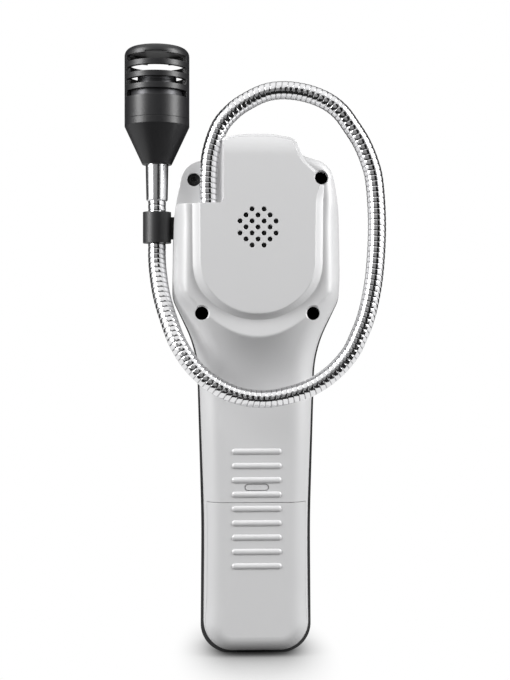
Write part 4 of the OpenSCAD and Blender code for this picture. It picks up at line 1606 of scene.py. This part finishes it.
@dataclass(frozen=True)
class Card:
    """Curved dark card that only reflections show.

    Its span is in degrees about the object, 0 at the camera, and each of its edges has a radius and a height.
    """

    name: str
    span: Pair
    edges: tuple[Pair, Pair]
    tone: float
    steps: int = 12

    def build(self) -> None:
        """Builds the card with its even tone."""
        points: list[Point] = []
        for i in range(self.steps + 1):
            a = math.radians(self.span[0] + (self.span[1] - self.span[0]) * i / self.steps)
            points += [(r * math.sin(a), -r * math.cos(a), z) for r, z in self.edges]
        faces = [(2 * i, 2 * i + 2, 2 * i + 3, 2 * i + 1) for i in range(self.steps)]
        card = Maker.solid(self.name, points, faces)
        material = bpy.data.materials.new(self.name)
        material.use_nodes = True
        nodes = material.node_tree.nodes
        nodes.remove(nodes["Principled BSDF"])
        graph = Graph(material.node_tree)
        glow = graph.add("ShaderNodeEmission", {"Strength": self.tone})
        graph.feed(nodes["Material Output"], {"Surface": glow.outputs[0]})
        card.data.materials.append(material)
        card.visible_camera = card.visible_diffuse = card.visible_shadow = False
        card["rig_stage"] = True


@dataclass
class Studio:
    """Camera, soft lamps, pale floor and white surround."""

    distance: float = 520.0
    height: float = 128.8
    swing: float = 2.3
    shift: float = -0.3
    view_height: float = 280.7
    sensor: float = 36.0
    aim: Point = (0.0, 0.0, 0.14)
    side_power: float = 13.2
    side_at: Point = (0.80, -0.38, 0.55)
    side_size: Pair = (0.4, 0.8)
    side_boxes: tuple[tuple[str, int, float], ...] = (
        ("left_box", -1, 0.6), ("left_soft_box", -1, 0.4), ("right_soft_box", 1, 1.0),
    )
    soft_boxes: tuple[str, ...] = ("left_soft_box", "right_soft_box")
    top_power: float = 0.3
    top_at: Point = (0.0, -0.2, 1.1)
    top_size: Pair = (0.9, 0.7)
    fill: float = 0.07
    cards: tuple[Card, ...] = (
        Card("grey_flag", (-40, 2), ((900, 5), (900, 560)), 0.3),
        Card("black_flag", (2, 32), ((900, 5), (900, 800)), 0.01),
        Card("back_flag", (102, 258), ((900, 5), (900, 1300)), 0.05),
        Card("apron", (-60, 60), ((190, 2), (900, 2)), 0.02, 16),
    )
    floor_reach: float = 6000.0
    floor_tone: float = 0.12
    # The floor's contact shadow is painted from ambient occlusion.
    shadow_reach: float = 0.035
    shadow_power: float = 1.1
    painted_shadow_glow: float = 0.68
    shadow_share: float = 0.75
    shadow_stretch: Point = (1.7, 0.6, 1.0)
    shadow_fade: Pair = (0.02, 0.06)

    def camera(self) -> None:
        """Sets the camera at the photograph's viewing angle."""
        data = bpy.data.cameras.new("camera")
        data.sensor_width = self.sensor
        data.lens = self.sensor * self.distance / self.view_height
        made = bpy.data.objects.new("camera", data)
        bpy.context.scene.collection.objects.link(made)
        a = math.radians(self.swing)
        made.location = Vector((-math.sin(a), -math.cos(a), 0)) * self.distance * MM
        made.location.x += self.shift * MM
        made.location.z = self.height * MM
        made.rotation_euler = (math.pi / 2, 0, -a)
        bpy.context.scene.camera = made

    def lamp(self, name: str, at: Point, size: Pair, power: float) -> None:
        """Adds one soft box.

        Args:
            name: Name of the lamp.
            at: Place in metres.
            size: Width and height in metres.
            power: Power in watts.
        """
        data = bpy.data.lights.new(name, "AREA")
        data.shape = "RECTANGLE"
        data.size, data.size_y = size
        data.energy = power
        made = bpy.data.objects.new(name, data)
        made.location = at
        made.rotation_euler = (Vector(self.aim) - Vector(at)).to_track_quat("-Z", "Y").to_euler()
        bpy.context.scene.collection.objects.link(made)

    @staticmethod
    def seen_as_white(graph: Graph) -> bpy.types.NodeSocket:
        """Adds the test for rays that should see a white surround.

        Args:
            graph: Tree that gets the test.

        Returns:
            Socket that is 1 for those rays.
        """
        ray = graph.add("ShaderNodeLightPath").outputs
        bright = graph.math("MAXIMUM", ray["Is Camera Ray"], ray["Is Glossy Ray"])
        return graph.math("MAXIMUM", bright, ray["Is Transmission Ray"])

    def surround(self) -> None:
        """Makes the white surround with a weak fill."""
        world = bpy.data.worlds.new("surround")
        world.use_nodes = True
        bpy.context.scene.world = world
        graph, nodes = Graph(world.node_tree), world.node_tree.nodes
        fill = nodes["Background"]
        graph.feed(fill, {"Color": WHITE, "Strength": self.fill})
        white = graph.add("ShaderNodeBackground", {"Color": WHITE, "Strength": 1.0})
        mix = graph.blend(self.seen_as_white(graph), fill.outputs[0], white.outputs[0])
        graph.feed(nodes["World Output"], {"Surface": mix})

    def floor(self) -> None:
        """Makes the floor, which near the foot takes the lamps' shadows and a painted contact shadow from
        ambient occlusion, and is white further off.
        """
        far = self.floor_reach
        corners = [(-far, -far, 0), (far, -far, 0), (far, far, 0), (-far, far, 0)]
        plane = Maker.solid("floor", corners, [(0, 1, 2, 3)])
        material = bpy.data.materials.new("floor")
        material.use_nodes = True
        graph, nodes = Graph(material.node_tree), material.node_tree.nodes
        nodes.remove(nodes["Principled BSDF"])
        dull = graph.add("ShaderNodeBsdfDiffuse", {"Color": (*[self.floor_tone] * 3, 1.0)}).outputs[0]
        # Painted contact shadow: ambient occlusion darkens the pale diffuse colour and an emission near the
        # foot, on top of the lamps' real shadows.
        shelter = graph.add("ShaderNodeAmbientOcclusion", {"Distance": self.shadow_reach}, samples=24)
        tone = graph.math("POWER", shelter.outputs["AO"], self.shadow_power)
        pale = graph.add("ShaderNodeBsdfDiffuse", {"Color": tone}).outputs[0]
        shadow_glow = graph.add("ShaderNodeEmission", {"Color": tone, "Strength": self.painted_shadow_glow}).outputs[0]
        near = graph.blend(self.shadow_share, pale, shadow_glow)
        place = graph.add("ShaderNodeTexCoord").outputs["Object"]
        stretch = graph.add("ShaderNodeVectorMath", {0: place, 1: self.shadow_stretch}, operation="MULTIPLY")
        reach = graph.add("ShaderNodeVectorMath", {0: stretch.outputs["Vector"]}, operation="LENGTH")
        start, end = self.shadow_fade
        fade = graph.add(
            "ShaderNodeMapRange",
            {"Value": reach.outputs["Value"], "From Min": start, "From Max": end},
            interpolation_type="SMOOTHSTEP",
        )
        white = graph.add("ShaderNodeEmission", {"Color": WHITE, "Strength": 1.0}).outputs[0]
        seen = graph.blend(fade.outputs["Result"], near, white)
        split = graph.blend(self.seen_as_white(graph), dull, seen)
        graph.feed(nodes["Material Output"], {"Surface": split})
        plane.data.materials.append(material)
        plane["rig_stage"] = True

    def spare(self, piece: bpy.types.Object) -> None:
        """Keeps a thin piece from shading what lies beside it from the soft side lamps.

        Args:
            piece: Piece that casts no shadow from these lamps.
        """
        group = bpy.data.collections.new("spared")
        group.objects.link(piece)
        group.collection_objects[0].light_linking.link_state = "EXCLUDE"
        for name in self.soft_boxes:
            bpy.data.objects[name].light_linking.blocker_collection = group

    def build(self) -> None:
        """Sets up the whole studio."""
        self.camera()
        x, y, z = self.side_at
        for name, side, share in self.side_boxes:
            self.lamp(name, (side * x, y, z), self.side_size, share * self.side_power)
        self.lamp("top_box", self.top_at, self.top_size, self.top_power)
        for card in self.cards:
            card.build()
        self.surround()
        self.floor()
        bpy.context.scene.view_settings.view_transform = "Standard"


def write_sizes() -> None:
    """Works out the box of the solids and the box of the dressed part, and keeps neither."""
    boxes = {"cad": CAD_BOX, "visual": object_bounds()}
    {name: [list(corner) for corner in box] for name, box in boxes.items()}


def main() -> None:
    """Builds the studio and every sub-assembly in order."""
    logging.basicConfig(level=logging.INFO, format="%(name)s %(message)s")
    studio = Studio()
    studio.build()
    studio.spare(Conduit().build())
    housing = Housing()
    rear = RearShell(housing)
    rear.build()
    BatteryCover(rear).build()
    FrontShell(housing).build()
    SensorHead().build()
    Fittings().build()
    write_sizes()


if __name__ == "__main__":
    main()
